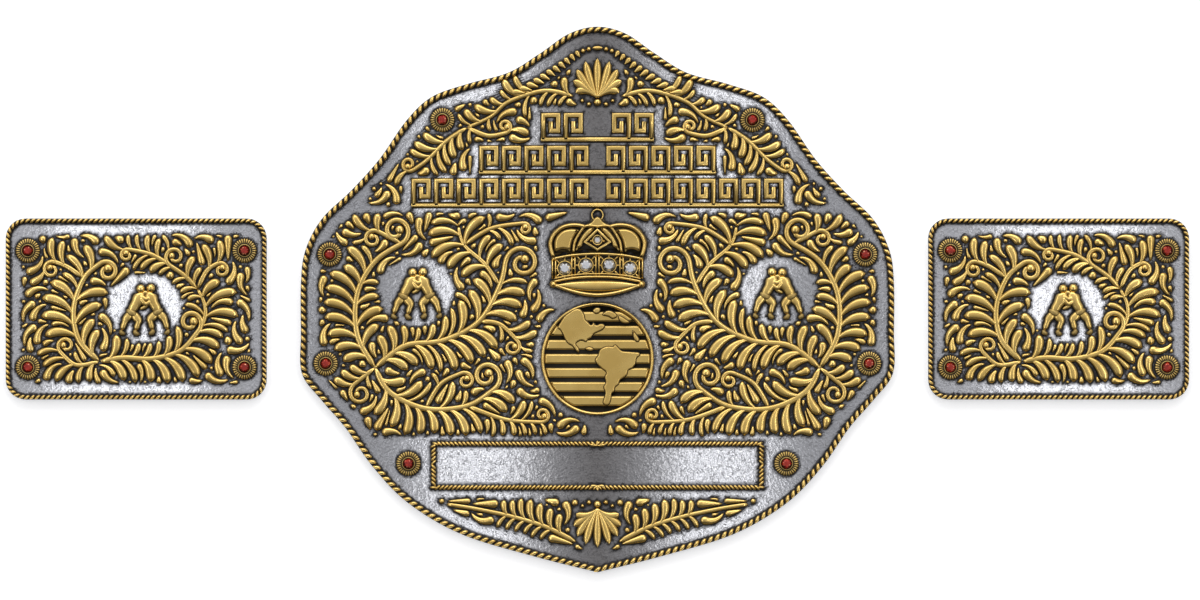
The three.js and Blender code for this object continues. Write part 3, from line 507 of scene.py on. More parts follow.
def grey(level):
    """A grey that leans to blue a little, as nickel does."""
    return (level, level * 1.01, level * 1.06, 1)


# The waves: their length over 2 pi in mm, the steepest slope of each metal, and how far inwards of
# their middles the side plates' silver has its crests. The last pair is where the silver's painted
# dark reflection, darker towards the middle line, is full and where it ends.
WAVE_LENGTH = 38.0
GOLD_LEAN = 0.12
SILVER_LEAN = 0.295
SIDE_CREST_IN = 56.0
PAINTED_DARK_MIDDLE = (2.0, 46.0)


# %% Gold, silver and stones
def gold_finish(name, centre):
    """Antiqued gold. The tone attribute and a little noise say how dark a place is, partly as antique
    black in the creases and partly as painted shade down the walls; dark places are rougher and less like
    metal."""
    material, shader, place = finish(name, Metallic=1.0, Specular_IOR_Level=0.5)
    tone = tone_of(place)
    patches = noise(place, 0.09, 3.0)
    grain = noise(place, 1.7, 4.0, 0.6)
    dark = (tone * 1.15 + (grain - 0.5) * 0.25).clamped()
    warm = patches.step(0.35, 0.65).blend((0.93, 0.655, 0.215, 1), (0.77, 0.52, 0.155, 1))
    # Base colour: the gold blended towards black by tone, antique black in the creases and painted shade on
    # the walls.
    feed(shader, "Base Color", (dark**1.1).blend(warm, (0.012, 0.009, 0.004, 1)))
    feed(shader, "Roughness", dark * 0.3 + patches * 0.16 + 0.17)
    feed(shader, "Metallic", 1.0 - dark * 0.5)
    bent = bump(lean(place, centre, GOLD_LEAN), 1.0, 1.0)
    feed(shader, "Normal", bump(grain, 0.16, 0.1, bent))
    return material


def silver_finish(name, centre, bright):
    """Hammered silver: dents of a few millimetres, a fine grain, and grey-black beside the ornament,
    where the tone is high, partly antique black and partly painted shade. Thin dark lines are painted
    shade in its wrinkles, its hollows are painted a little darker as shade, and the centre plate is
    painted darker towards its middle line as a dark reflection. bright is its palest grey."""
    material, shader, place = finish(name, Metallic=1.0)
    tone = tone_of(place)
    dents = noise(place, 0.42, 2.0, 0.45)
    ripples = noise(place, 0.8, 2.5, 0.5)
    off_middle = (ripples - 0.5).math("ABSOLUTE", ripples - 0.5)
    # Thin dark lines along the ripples' middles: painted shade in the hammered wrinkles.
    painted_wrinkle_shade = (1.0 - off_middle.step(0.02, 0.07)) * dents.step(0.46, 0.56) * 0.6
    # Dark beside every form, where the tone is high: partly antique black, partly painted shade.
    patina_and_shade = (tone * 1.2 + (ripples - 0.5) * 0.5 * tone + painted_wrinkle_shade).clamped()
    # Paler on the dents' crests, darker in their hollows: painted shade.
    pale = dents.step(0.38, 0.62).blend(grey(bright * 0.84), grey(bright))
    x = place.node("ShaderNodeSeparateXYZ", {}, {0: place})
    # Darker towards the middle line: a painted dark reflection.
    pale = x.math("ABSOLUTE", x).step(*PAINTED_DARK_MIDDLE).blend((0.27, 0.26, 0.26, 1), pale)
    feed(shader, "Base Color", patina_and_shade.blend(pale, (0.028, 0.027, 0.03, 1)))
    feed(shader, "Roughness", patina_and_shade * 0.3 + ripples * 0.12 + 0.2)
    feed(shader, "Metallic", 1.0 - patina_and_shade * 0.4)
    bent = bump(lean(place, centre, SILVER_LEAN), 1.0, 1.0)
    rough = bump(dents, 0.4, 0.25, bent)
    feed(shader, "Normal", bump(ripples, 0.8, 0.2, rough))
    return material


def stone_finish(name, stops, **constants):
    """Cut glass on foil: each facet's own tone paints it, from shade in the stone's depth to a painted glint.
    """
    material, shader, place = finish(name, **constants)
    tone = tone_of(place)
    cloud = noise(place, 0.8, 2.0)
    depth = (tone + (cloud - 0.5) * 0.3).clamped()
    # Base colour by facet tone: painted shade on the dark facets, painted glints on the bright ones.
    feed(shader, "Base Color", depth.node("ShaderNodeValToRGB", {"stops": stops}, {0: depth}))
    return material


gold = gold_finish("antiqued_gold_painted_shade", 0.0)
silver = silver_finish("hammered_silver", 0.0, 0.58)
side_gold = {flip: gold_finish(f"side_gold_{word}", flip * SIDE_X) for flip, word in SIDES}
# The side plates' silver gets a paler grey than the centre's: painted light, the same metal painted as if lit
# brighter.
side_silver = {
    flip: silver_finish(f"side_silver_{word}", flip * (SIDE_X - SIDE_CREST_IN), 0.74) for flip, word in SIDES
}
# The ramps run from painted shade to a pale painted glint.
red_glass = stone_finish(
    "red_glass",
    [(0.0, (0.015, 0.0, 0.0, 1)), (0.45, (0.17, 0.006, 0.003, 1)), (0.8, (0.5, 0.03, 0.012, 1)),
     (1.0, (0.85, 0.34, 0.2, 1))],
    Metallic=0.2, Roughness=0.12, Coat_Weight=0.35, Coat_Roughness=0.03,
)
white_glass = stone_finish(
    "white_glass",
    [(0.0, (0.03, 0.03, 0.035, 1)), (0.35, (0.25, 0.26, 0.28, 1)), (0.6, (0.8, 0.81, 0.84, 1)),
     (1.0, (1.0, 1.0, 1.0, 1))],
    Metallic=0.7, Roughness=0.1, Coat_Weight=0.3, Coat_Roughness=0.02,
)
print("finishes:", [m.name for m in bpy.data.materials if m.node_tree])

# %% [markdown]
# ## Where the ornament may grow
# The scrollwork is laid out as an engraver does it: main stems first, then pairs of leaves as long
# as there is room, then drops in every gap that is left. Room is measured to circles: each form is
# a row of circles along its spine, and a point is clear by the least distance to any of them. A
# packed picture could be traced instead, but growth fills any outline without a gap or a clash.


# %% Circles that take up room
class Room:
    """Circles as rows of x, y, radius and the direction of the form that they belong to."""

    def __init__(self):
        self.circles = np.zeros((0, 5))

    def add(self, points, radii):
        points = np.asarray(points, float)
        course = along(points) if len(points) > 1 else np.zeros((1, 2))
        radii = np.broadcast_to(np.asarray(radii, float), len(points))
        self.circles = np.vstack([self.circles, np.column_stack([points, radii, course])])

    def wall(self, outline):
        self.add(even(outline, 0.8, closed=True), 0.0)

    def clear(self, points, circles=None):
        """Least distance from each point to the circles' rims."""
        c = self.circles if circles is None else circles
        return (np.linalg.norm(points[:, None] - c[None, :, :2], axis=2) - c[:, 2]).min(1)


def inside(points, outline):
    """Which points lie inside: those whose level line to the right crosses the outline oddly."""
    x, y = points[:, :1], points[:, 1:]
    a, b = outline, np.roll(outline, -1, 0)
    level = (a[:, 1] > y) != (b[:, 1] > y)
    rise = np.where(a[:, 1] == b[:, 1], 1, b[:, 1] - a[:, 1])
    crossing = a[:, 0] + (b[:, 0] - a[:, 0]) * (y - a[:, 1]) / rise
    return (level & (crossing > x)).sum(1) % 2 == 1


# %% Stems, volutes and leaves
STYLES = {
    "vine": dict(root=1.7, tip=1.3, bulb=2.3, pitch=5.8, leaf=17.0, broad=2.5, angle=27, curl=72),
    "twig": dict(root=1.4, tip=1.0, bulb=1.7, pitch=4.9, leaf=12.0, broad=2.1, angle=30, curl=66),
    "frond": dict(root=1.4, tip=0.9, bulb=0.0, pitch=5.3, leaf=17.0, broad=2.4, angle=36, curl=76),
}
WALL_GAP = 0.3
FORM_GAP = 0.45
LEAF_STEPS = 8
LEAST_LEAF = 3.2


def volute(start, heading, first, last, turns, side):
    """A spiral: while it turns, its radius falls evenly from first to last."""
    count = int(turns * 22) + 2
    share = (np.arange(count) + 0.5) / count
    bearing = heading + side * share * turns * 2 * math.pi
    stride = (first + (last - first) * share) * turns * 2 * math.pi / count
    return start + np.cumsum(pointing(bearing) * stride[:, None], 0)


def grow_stem(s, coil, points, unit):
    """A stem's path and half widths: thin at its start, then even, with a volute if it coils."""
    path = even(smooth(shares(points, unit)), 1.0)
    if coil:
        first, last, turns, side = coil
        step = path[-1] - path[-2]
        heading = math.atan2(step[1], step[0])
        spiral = volute(path[-1], heading, first / 100 * unit[0], last / 100 * unit[0], turns, side)
        path = even(np.vstack([path, spiral]), 1.0)
    t = np.linspace(0, 1, len(path))
    half = (s["root"] + (s["tip"] - s["root"]) * t) * np.minimum(1, 0.35 + t * len(path) / 6)
    return path, half


def ball(centre, ahead, radius):
    """A round form's spine and half widths, from end to end: q radii from its middle it is
    radius x sqrt(1 - q^2) wide."""
    q = np.sin(np.linspace(-math.pi / 2, math.pi / 2, 9))
    return centre + ahead * (q * radius)[:, None], radius * np.sqrt(1 - q * q)


def leaf_half_width(t, broad):
    """A quarter at the root, widest at 0.72 of the length, then a round end."""
    grown = 0.25 + 0.75 * np.sin(np.clip(t / 0.72, 0, 1) * math.pi / 2) ** 1.3
    return broad * grown * np.sqrt(np.clip(1 - np.clip((t - 0.72) / 0.28, 0, 1) ** 2, 0, 1))


def grow_leaf(walls, forms, root, heading, longest, curl, broad):
    """The longest leaf from a root that keeps clear of the walls and of the other forms."""
    t = np.linspace(0, 1, LEAF_STEPS + 1)
    bearing = heading + curl * (t[:-1] + 0.5 / LEAF_STEPS)
    course = pointing(bearing) / LEAF_STEPS
    for length in np.arange(longest, LEAST_LEAF, -0.09 * longest):
        spine = root + np.vstack([[0, 0], np.cumsum(course * length, 0)])
        to_walls = walls.clear(spine[1:])
        to_forms = forms.clear(spine[4:])
        for thinner in (1.0, 0.8, 0.62):
            half = leaf_half_width(t, broad * thinner)
            if (to_walls - half[1:] >= WALL_GAP).all() and (to_forms - half[4:] >= FORM_GAP).all():
                return spine, half
    return None


# %% Drops that fill what is left
DROP_STEP = 0.8
DROP_LONG = 11.0
DROP_MOST = 2.2
DROP_LEAST = 0.78
SPOT_PITCH = 0.7
MOST_DROPS = 900


def fill_drops(walls, forms, region, holes):
    """Teardrops: the largest free circle again and again, each with the longest curved tail that
    fits. Of 24 directions and three curls, a tail that runs with its neighbours wins."""
    low, high = region.min(0), region.max(0)
    across, upwards = (np.arange(low[k], high[k], SPOT_PITCH) for k in (0, 1))
    spots = np.stack(np.meshgrid(across, upwards), -1).reshape(-1, 2)
    free = inside(spots, region)
    for hole in holes:
        free &= ~inside(spots, hole)
    spots = spots[free]
    both = np.vstack([walls.circles, forms.circles])
    room = np.full(len(spots), 1e9)
    for start in range(0, len(both), 400):
        room = np.minimum(room, walls.clear(spots, both[start : start + 400]))
    bearings = np.radians(np.repeat(np.arange(0, 360, 15), 3))
    curls = np.tile([-0.1, 0.0, 0.1], 24)
    facing = pointing(bearings)
    drops = []
    for _ in range(MOST_DROPS):
        k = int(np.argmax(room))
        radius = min(room[k] - FORM_GAP, DROP_MOST)
        if radius < DROP_LEAST:
            break
        centre = spots[k]
        near = both[np.abs(both[:, :2] - centre).max(1) < DROP_LONG + 6]
        gaps = np.linalg.norm(forms.circles[:, :2] - centre, axis=1) - forms.circles[:, 2]
        flow = forms.circles[np.argsort(gaps)[:6], 3:5]
        agree = np.abs(facing @ flow.T).mean(1)
        at = np.repeat(centre[None], len(bearings), 0)
        heading = bearings.copy()
        alive = np.ones(len(bearings), bool)
        length = np.zeros(len(bearings))
        trail = [at]
        while alive.any() and length.max() < DROP_LONG:
            at = at - DROP_STEP * pointing(heading)
            need = np.maximum(0.3, radius * (1 - (length + DROP_STEP) / DROP_LONG) * 0.9) * 0.75
            alive &= walls.clear(at, near) - FORM_GAP >= need
            length[alive] += DROP_STEP
            heading = heading + curls
            trail.append(at)
        best = int(np.argmax(length * np.where(curls == 0, 1, 1.08) + 3 * agree))
        tail = np.array([row[best] for row in trail[: int(round(length[best] / DROP_STEP)) + 1]])[::-1]
        ahead = facing[best]
        if length[best] < 0.9:
            spine, half = ball(centre, ahead, radius)
        else:
            body = even(tail, max(0.1, length[best] / 6))
            nose = np.array([0.45, 0.8, 0.96, 1.0])
            spine = np.vstack([body, centre + ahead * (radius * nose)[:, None]])
            swell = 0.12 + 0.88 * np.linspace(0, 1, len(body)) ** 0.8
            half = radius * np.concatenate([swell, np.sqrt(1 - nose**2)])
        drops.append((spine, half))
        forms.add(spine, half)
        new = np.column_stack([spine, half, along(spine)])
        both = np.vstack([both, new, [[*centre, radius, 0, 0]]])
        close = np.abs(spots - centre).max(1) < DROP_LONG + 6
        room[close] = np.minimum(room[close], walls.clear(spots[close], both[-len(new) - 1 :]))
    return drops


def scrollwork(stems, unit, outlines, region, holes):
    """Stems, leaves on both sides of each, then drops. Gives (kind, spine, half widths)."""
    walls, forms = Room(), Room()
    for outline in outlines:
        walls.wall(outline)
    made, grown = [], []
    for style, first, last, coil, points in stems:
        s = STYLES[style]
        path, half = grow_stem(s, coil, points, unit)
        forms.add(path, half)
        if coil:
            forms.add(path[-1:], s["bulb"])
            made.append(("bulb", *ball(path[-1], along(path)[-1], s["bulb"])))
        made.append(("stem", path, half))
        grown.append((s, path, first, last))
    for s, path, first, last in grown:
        length = arc(path)
        bearing = np.unwrap(np.arctan2(*along(path).T[::-1]))
        start, end = first * length[-1], last * length[-1]
        count = max(1, int(round((end - start) / s["pitch"])))
        for k in range(count + 1):
            at = start + (end - start) * k / count
            root = sample(path, length, at)
            size = 0.8 + 0.35 * math.sin(math.pi * (k + 0.5) / (count + 1))
            broad = s["broad"] * (0.85 + 0.15 * size)
            for side in (1, -1):
                heading = np.interp(at, length, bearing) + side * math.radians(s["angle"])
                curl = side * math.radians(s["curl"])
                leaf = grow_leaf(walls, forms, root, heading, s["leaf"] * size, curl, broad)
                if leaf:
                    made.append(("leaf", *leaf))
                    forms.add(leaf[0][2:], leaf[1][2:])
    made += [("drop", *drop) for drop in fill_drops(walls, forms, region, holes)]
    return made


# %% [markdown]
# ## The scrollwork of each field
# The tables are this belt's own design: acanthus stems that spring from one root, curl into
# volutes and carry leaves on both sides. Each row is a style, the share of the stem's length where
# leaves start and end, its volute as first and last radius, turns and side, and its points.

# %% Stem tables
PANEL_STEMS = [
    ("vine", 0.04, 0.62, (5.7, 1.5, 1.35, -1),
     [(-75, -25), (-65, -17), (-52, -15), (-40, -8), (-33, 5), (-31, 14)]),
    ("vine", 0.05, 0.60, (4.8, 1.3, 1.25, 1), [(-75, -25), (-81, -13), (-81, 2), (-75, 14), (-66, 20.5)]),
    ("frond", 0.30, 1.00, None, [(-33, 5), (-38, 13), (-45, 20), (-47, 27)]),
    ("vine", 0.05, 0.62, (5.1, 1.3, 1.35, 1), [(-75, -25), (-70, -34), (-58, -40), (-44, -39), (-35, -33)]),
    ("twig", 0.12, 0.66, (2.5, 0.8, 1.2, 1), [(-44, -39), (-31, -44), (-19, -45)]),
    ("twig", 0.10, 0.55, (3.7, 1.1, 1.25, 1), [(-75, -25), (-82, -31)]),
    ("twig", 0.10, 0.60, (2.8, 0.9, 1.15, -1), [(-40, -8), (-33, -9), (-27, -15)]),
    ("twig", 0.10, 0.60, (3.1, 0.9, 1.2, 1), [(-66, 20.5), (-74, 25)]),
    ("twig", 0.20, 0.70, (2.0, 0.7, 1.1, -1), [(-45, 20), (-36, 26), (-25, 28)]),
    ("twig", 0.15, 0.60, (2.9, 0.9, 1.2, -1), [(-58, -40), (-53, -31), (-46, -27)]),
]
CREST_STEMS = [
    ("twig", 0.04, 0.95, None, [(-8, 74.5), (-18, 76.5), (-30, 72.5), (-36, 67), (-44, 63)]),
    ("twig", 0.06, 0.70, (2.5, 0.9, 1.2, -1), [(-44, 63), (-51, 58), (-57, 51.5), (-62, 47.5)]),
    ("twig", 0.10, 0.60, (2.3, 0.8, 1.2, 1), [(-44, 63), (-37, 60), (-31, 61)]),
]
FOOT_STEMS = [
    ("twig", 0.06, 0.95, None, [(-7, -89), (-17, -83.5), (-29, -79.5), (-42, -76.5), (-51, -75)]),
]
SIDE_STEMS = [
    ("vine", 0.05, 0.64, (9.1, 2.6, 1.2, 1), [(-28, -58), (-10, -54), (12, -55), (34, -46), (48, -24)]),
    ("vine", 0.05, 0.62, (8.2, 2.4, 1.2, -1), [(-28, -58), (-44, -34), (-48, 0), (-40, 34), (-28, 50)]),
    ("twig", 0.06, 0.66, (6.7, 2.0, 1.2, 1), [(-40, 34), (-52, 46), (-62, 52)]),
    ("twig", 0.06, 0.64, (6.7, 2.0, 1.2, -1), [(-28, -58), (-46, -62), (-58, -48)]),
    ("frond", 0.10, 1.00, None, [(48, -24), (53, -8), (52, 8), (47, 22)]),
    ("twig", 0.05, 0.60, (7.6, 2.3, 1.25, -1), [(47, 22), (38, 36), (26, 48)]),
    ("twig", 0.05, 0.90, (4.9, 1.8, 1.1, 1), [(26, 48), (12, 60), (-6, 66)]),
    ("twig", 0.05, 0.60, (5.8, 2.0, 1.2, -1), [(47, 22), (54, 42), (62, 50)]),
]

# %% Fields and what stands in them
EDGE_INSET = 8.5
SIDE_EDGE_INSET = 7.5
MAIN_ROSETTES = np.array([[78.45, 90.8], [135.45, 22.8], [137.4, -32.4], [95.6, -83.0]])
SIDE_ROSETTES = np.array([[54.8, 29.5], [54.8, -29.5]])
ROSETTE_CLEAR = 7.3
GLOBE_R = 28.6
GLOBE_Y = -30.0
FIGURE_MAIN = np.array([91.5, 4.0])
FIGURE_SIDE = np.array([4.3, 0.6])
FIGURE_WALL = (18.5, 17.0)
KEY_ROWS = [(4, 11.4, 87.1), (10, 5.7, 70.5), (16, 5.7, 53.9)]
KEY_H = 14.6
KEY_PITCH = 11.4
NAME_HALF = np.array([84.3, 12.4])
NAME_Y = -84.0


def box(x0, y0, x1, y1):
    return np.array([[x0, y0], [x1, y0], [x1, y1], [x0, y1]], float)


def edge_between(line, low, high, right=-0.1, left=-MAIN_HALF[0]):
    """The part of a closed line between two heights and two sides, from its upper end down."""
    x, y = line.T
    part = line[(x < right) & (x > left) & (y > low) & (y < high)]
    return part[np.argsort(-part[:, 1])]


edge = inset(main_outline, EDGE_INSET)
rosette_walls = [circle(-x, y, ROSETTE_CLEAR) for x, y in MAIN_ROSETTES]
key_walls = []
for count, gap, y in KEY_ROWS:
    reach, half_row = (count * KEY_PITCH + gap) / 2 + 1.2, KEY_H / 2 + 0.7
    key_walls.append(box(-reach, y - half_row, reach, y + half_row))
crown_side = [(-2, 34), (-12, 30), (-19, 26), (-20, 12), (-18.5, -1), (-8, -5)]
crown_wall = shares(crown_side + [(-x, y) for x, y in crown_side[::-1]], MAIN_HALF)
globe_wall = circle(0, GLOBE_Y, GLOBE_R + 3.5, count=48)
figure_wall = circle(-FIGURE_MAIN[0], FIGURE_MAIN[1], *FIGURE_WALL)

PANEL_TOP, PANEL_FOOT = 44.8, -69.7
flank = edge_between(edge, PANEL_FOOT, PANEL_TOP)
panel_region = np.vstack([
    [[-7.5, PANEL_TOP], [flank[0, 0], PANEL_TOP]], flank,
    [[flank[-1, 0], PANEL_FOOT], [-4.5, PANEL_FOOT], [-4.5, -63.5]],
])
panel_holes = [figure_wall, globe_wall, crown_wall, *rosette_walls]
panel = scrollwork(PANEL_STEMS, MAIN_HALF, [panel_region, *panel_holes], panel_region, panel_holes)
print("panel forms:", len(panel))

# A palmette stands in the middle of the crest and of the foot: height, radius and way up.
PALMETTES = {"crest_scroll": (109.8, 12.8, 1), "foot_scroll": (-113.4, 12.6, -1)}
PALMETTE_CLEAR = 1.0
# Over the crest a row of beads runs along the edge, as far as BEADED_HALF to each side. It and the
# leaves under it each keep their own distance from the outline.
BEADED_HALF = 47.0
BEAD_INSET = 10.8
UNDER_BEADS_INSET = 14.2
# The crest's field ends at CREST_FOOT and the foot's field starts at FOOT_TOP. Both leave a gap at
# the middle line.
CREST_FOOT = 46.0
FOOT_TOP = -100.0
MIDDLE_GAP = 2.6
beads_foot = inset(main_outline, UNDER_BEADS_INSET)
under_beads = edge_between(beads_foot, CREST_FOOT, MAIN_HALF[1], left=-BEADED_HALF)
beyond_beads = edge_between(edge, CREST_FOOT, MAIN_HALF[1], right=-BEADED_HALF - 1)
crest_edge = np.vstack([under_beads, beyond_beads])
crest_region = np.vstack([
    [[-MIDDLE_GAP, crest_edge[0, 1] - 3]], crest_edge[crest_edge[:, 0] < -MIDDLE_GAP],
    [[-98, CREST_FOOT], [-98, 62], [-63, 62], [-63, 79], [-33, 79], [-33, 97], [-MIDDLE_GAP, 97]],
])
palmette_walls = {node: circle(0, y, radius + PALMETTE_CLEAR) for node, (y, radius, _) in PALMETTES.items()}
crest_holes = [*key_walls, rosette_walls[0], palmette_walls["crest_scroll"]]
crest = scrollwork(CREST_STEMS, MAIN_HALF, [crest_region, *crest_holes], crest_region, crest_holes)

foot_edge = edge_between(edge, -MAIN_HALF[1], FOOT_TOP - 0.5, right=-MIDDLE_GAP)[::-1]
foot_region = np.vstack([
    [[-MIDDLE_GAP, FOOT_TOP], [-MIDDLE_GAP, edge[:, 1].min() + 1]], foot_edge, [[foot_edge[-1, 0], FOOT_TOP]],
])
foot_hole = palmette_walls["foot_scroll"]
foot = scrollwork(FOOT_STEMS, MAIN_HALF, [foot_region, foot_hole], foot_region, [foot_hole])

side_region = box(*(SIDE_EDGE_INSET - SIDE_HALF), *(SIDE_HALF - SIDE_EDGE_INSET))
side_holes = [circle(*FIGURE_SIDE, *FIGURE_WALL)]
side_holes += [circle(sx * x, y, 7.0) for x, y in SIDE_ROSETTES for sx in (-1, 1)]
side = scrollwork(SIDE_STEMS, SIDE_HALF, [side_region, *side_holes], side_region, side_holes)
print("crest, foot and side forms:", len(crest), len(foot), len(side))

# %% [markdown]
# ## Cast the scrollwork
# Every spine gets the plump section. Wide forms stand higher than narrow ones, as they do in a
# hand-cut model, so the drops lie low between the leaves and take less light.

# %% Turn spines into relief
SCROLL_RISE = 2.2
WIDEST = 2.25
# Each kind of form: spacing in mm, share of the rise, cross section.
FORM_KINDS = {
    "stem": (1.4, 0.82, PLUMP), "leaf": (1.1, 1.0, PLUMP), "drop": (1.1, 0.86, SMALL),
    "bulb": (0.7, 1.15, SMALL),
}


def cast_forms(forms):
    """Each spine is spaced again; rise = full rise x (half width / widest) to the power 0.45. A
    leaf's root stays open in its stem, and every other end is a point."""
    casting = Casting()
    for kind, spine, half in forms:
        step, share, section = FORM_KINDS[kind]
        fine = even(np.column_stack([spine, half]), step)
        width = np.maximum(fine[:, 2], 0)
        width[-1] = 0
        if kind != "leaf":
            width[0] = 0
        rise = SCROLL_RISE * share * np.minimum(1, width / WIDEST) ** 0.45
        carry(casting, fine[:, :2], width, rise, section)
    return casting


# %% Beads and palmettes
FAN = (0, 30, 58, 86, 116)
PALMETTE_RISE = 2.3
BAR_HALF = 2.6
BAR_WIDE = 1.15
BAR_RISE = 1.7
ROW_BEADS = 13
ROUND_BEADS = 2
DROP_RISE = 1.9


def bead(casting, x, y, radius, height):
    """A half ball on the plate, with a dark step round it."""
    knob(casting, x, y, [[radius + 0.25, 0.08], [radius, 0.05]], radius, 0.3, height - 0.3, 0.5, 16)


def palmette(casting, y, radius, up):
    """Leaves that fan from a bead to the rim of a circle. Each runs along the curve
    P0 (1 - t)^2 + 2 P1 t (1 - t) + P2 t^2, the outer ones bow outwards, and beads stand under them."""
    t = np.linspace(0, 1, 13)[:, None]
    root = np.array([0, -0.6])
    for spread in FAN:
        for side in (-1, 1) if spread else (1,):
            out = pointing(math.radians(90 + side * spread))
            belly = root + np.array([0.62 * out[0], 0.5 + 0.1 * out[1]])
            spine = (root * (1 - t) ** 2 + 2 * belly * t * (1 - t) + 0.95 * out * t**2) * radius
            carry(casting, spine * [1, up] + [0, y], leaf_half_width(t[:, 0], 2.1), PALMETTE_RISE)
    for x, drop, size in ((0, -0.78, 1.9), (0.34, -0.86, 1.2), (0.6, -0.72, 1.0)):
        for side in (1, -1) if x else (1,):
            bead(casting, side * x * radius, y + up * drop * radius, size, 2.0)


def bead_row(casting):
    """Over the crest: a long bead in the middle, two round ones to each side, then teardrops that
    lean outwards and grow, all along one line inside the edge. Two small beads end the crest."""
    line = inset(main_outline, BEAD_INSET)
    line = line[(line[:, 1] > 90) & (line[:, 0] >= 0)]
    line = line[np.argsort(line[:, 0])]
    far = arc(line)
    t = np.linspace(-1, 1, 9)
    high = np.interp(0, line[:, 0], line[:, 1])
    bar = np.column_stack([BAR_HALF * t, np.full(9, high)])
    carry(casting, bar, BAR_WIDE * np.sqrt(1 - t**2), BAR_RISE)
    t = np.linspace(0, 1, 9)
    at = 4.4
    for k in range(ROW_BEADS):
        place = sample(line, far, at)
        out = pointing(math.radians(68 - 5.2 * k))
        spine = place + out * ((3.0 + 0.32 * k) * (t - 0.62))[:, None]
        for side in (-1, 1):
            if k < ROUND_BEADS:
                bead(casting, side * place[0], place[1], 1.2, BAR_RISE)
            else:
                carry(casting, spine * [side, 1], leaf_half_width(t, 1.25 + 0.04 * k), DROP_RISE)
        at += 3.1 if k < ROUND_BEADS else 3.0 + 0.1 * k
    for side in (-1, 1):
        bead(casting, side * 113, 56, 1.1, 1.5)
        bead(casting, side * 109.5, 58.5, 0.8, 1.2)


def make_on_sides(casting, piece, node):
    """The same forms on both side plates, each as a piece of its own."""
    for flip, word in SIDES:
        moved = Casting()
        moved.join(casting, shift=(flip * SIDE_X, SIDE_Y))
        moved.make(f"{word}_plate_{piece}", side_gold[flip], "gold", f"{word}_{node}")


# %% The pieces of scrollwork
half_panel, half_crest, half_foot = cast_forms(panel), cast_forms(crest), cast_forms(foot)
side_cast = cast_forms(side)
half_panel.make("left_field_scrollwork", gold, "gold", "left_scroll")
right_panel = Casting()
right_panel.join(half_panel, flip=True)
right_panel.make("right_field_scrollwork", gold, "gold", "right_scroll")
for half_cast, node in ((half_crest, "crest_scroll"), (half_foot, "foot_scroll")):
    whole = Casting()
    whole.join(half_cast)
    whole.join(half_cast, flip=True)
    palmette(whole, *PALMETTES[node])
    if node == "crest_scroll":
        bead_row(whole)
    whole.make(node + "work", gold, "gold", node)
make_on_sides(side_cast, "scrollwork", "plate_scroll")

# %% [markdown]
# ## Twisted ropes
# Each plate's edge is a rope: in the casting it is a row of slanting, lozenge-shaped lumps with
# black gaps between. A rope can be twisted from curves, but only its upper face exists on a cast
# plate, so one domed lump is worked out and set along the edge, turned to it each time.

# %% Rope lumps along a path
# Rings of a lump from its foot to its top: share of its size, share of the rise, tone.
LUMP = np.array([[0, -0.1, 1], [1, -0.1, 1], [1, 0.4, 0.6], [0.86, 0.74, 0.06], [0.5, 0.97, 0], [0, 1, 0]])
LUMP_SIDES = 10
ROPE_CLEAR = 0.15


def rope(casting, path, width, rise, pitch, slant, fat=0.43):
    """Domes over sheared superellipses. A ring at share r has points r (a c + slant b s, b s)
    along and across the path, where c and s are the signed 0.8 powers of cosine and sine."""
    spots = even(path, pitch, closed=True)
    pitch = np.linalg.norm(spots[1] - spots[0])
    ahead = along(spots, closed=True)
    beside = left_of(ahead)
    slant = np.broadcast_to(slant(spots) if callable(slant) else slant, len(spots))[:, None, None]
    c, s = pointing(full_turn(LUMP_SIDES)).T
    c, s = (np.sign(v) * np.abs(v) ** 0.8 for v in (c, s))
    reach = LUMP[None, :, :1]
    across = reach * (width / 2) * s
    forward = reach * (fat * pitch * c) + slant * across
    points = np.empty((len(spots), len(LUMP), LUMP_SIDES, 3))
    points[..., :2] = spots[:, None, None] + forward[..., None] * ahead[:, None, None]
    points[..., :2] += across[..., None] * beside[:, None, None]
    points[..., 2] = FACE + rise * LUMP[None, :, 1:2]
    for lump in points:
        casting.grid(lump, LUMP[:, 2:])


def edge_rope(outline, width, pitch):
    """The rope of a plate's edge: a dark core with lumps over it, in the outline's outer strip."""
    casting = Casting()
    middle = inset(outline, width / 2)
    carry(casting, middle, width / 2 - FLANGE, 0.9, STROKE, closed=True, shade=0.9)
    rope(casting, middle, width - ROPE_CLEAR, ROPE_RISE, pitch, 0.85, fat=0.36)
    return casting


MAIN_LUMP_PITCH = 3.7
SIDE_LUMP_PITCH = 2.66
main_rope = edge_rope(even(main_outline, 2.0, closed=True), MAIN_ROPE_W, MAIN_LUMP_PITCH)
main_rope.make("centre_plate_rope", gold, "gold", "main_rope")
side_rope = edge_rope(even(side_outline, 1.5, closed=True), SIDE_ROPE_W, SIDE_LUMP_PITCH)
make_on_sides(side_rope, "rope", "rope")

# %% [markdown]
# ## The name bar's frame
# A long bare panel for a name is framed by a finer rope. Its twist turns the other way in each
# half, and a small three-leaved ornament covers the place where the halves meet.

# %% Frame of the name bar
NAME_ROPE_W = 2.7
NAME_RISE = 2.0
NAME_LUMP_PITCH = 2.1


def frame_twist(spots):
    """The lumps' slant turns round at both middle lines of the frame."""
    return np.sign(spots[:, 0]) * np.sign(spots[:, 1] - NAME_Y) * 0.8


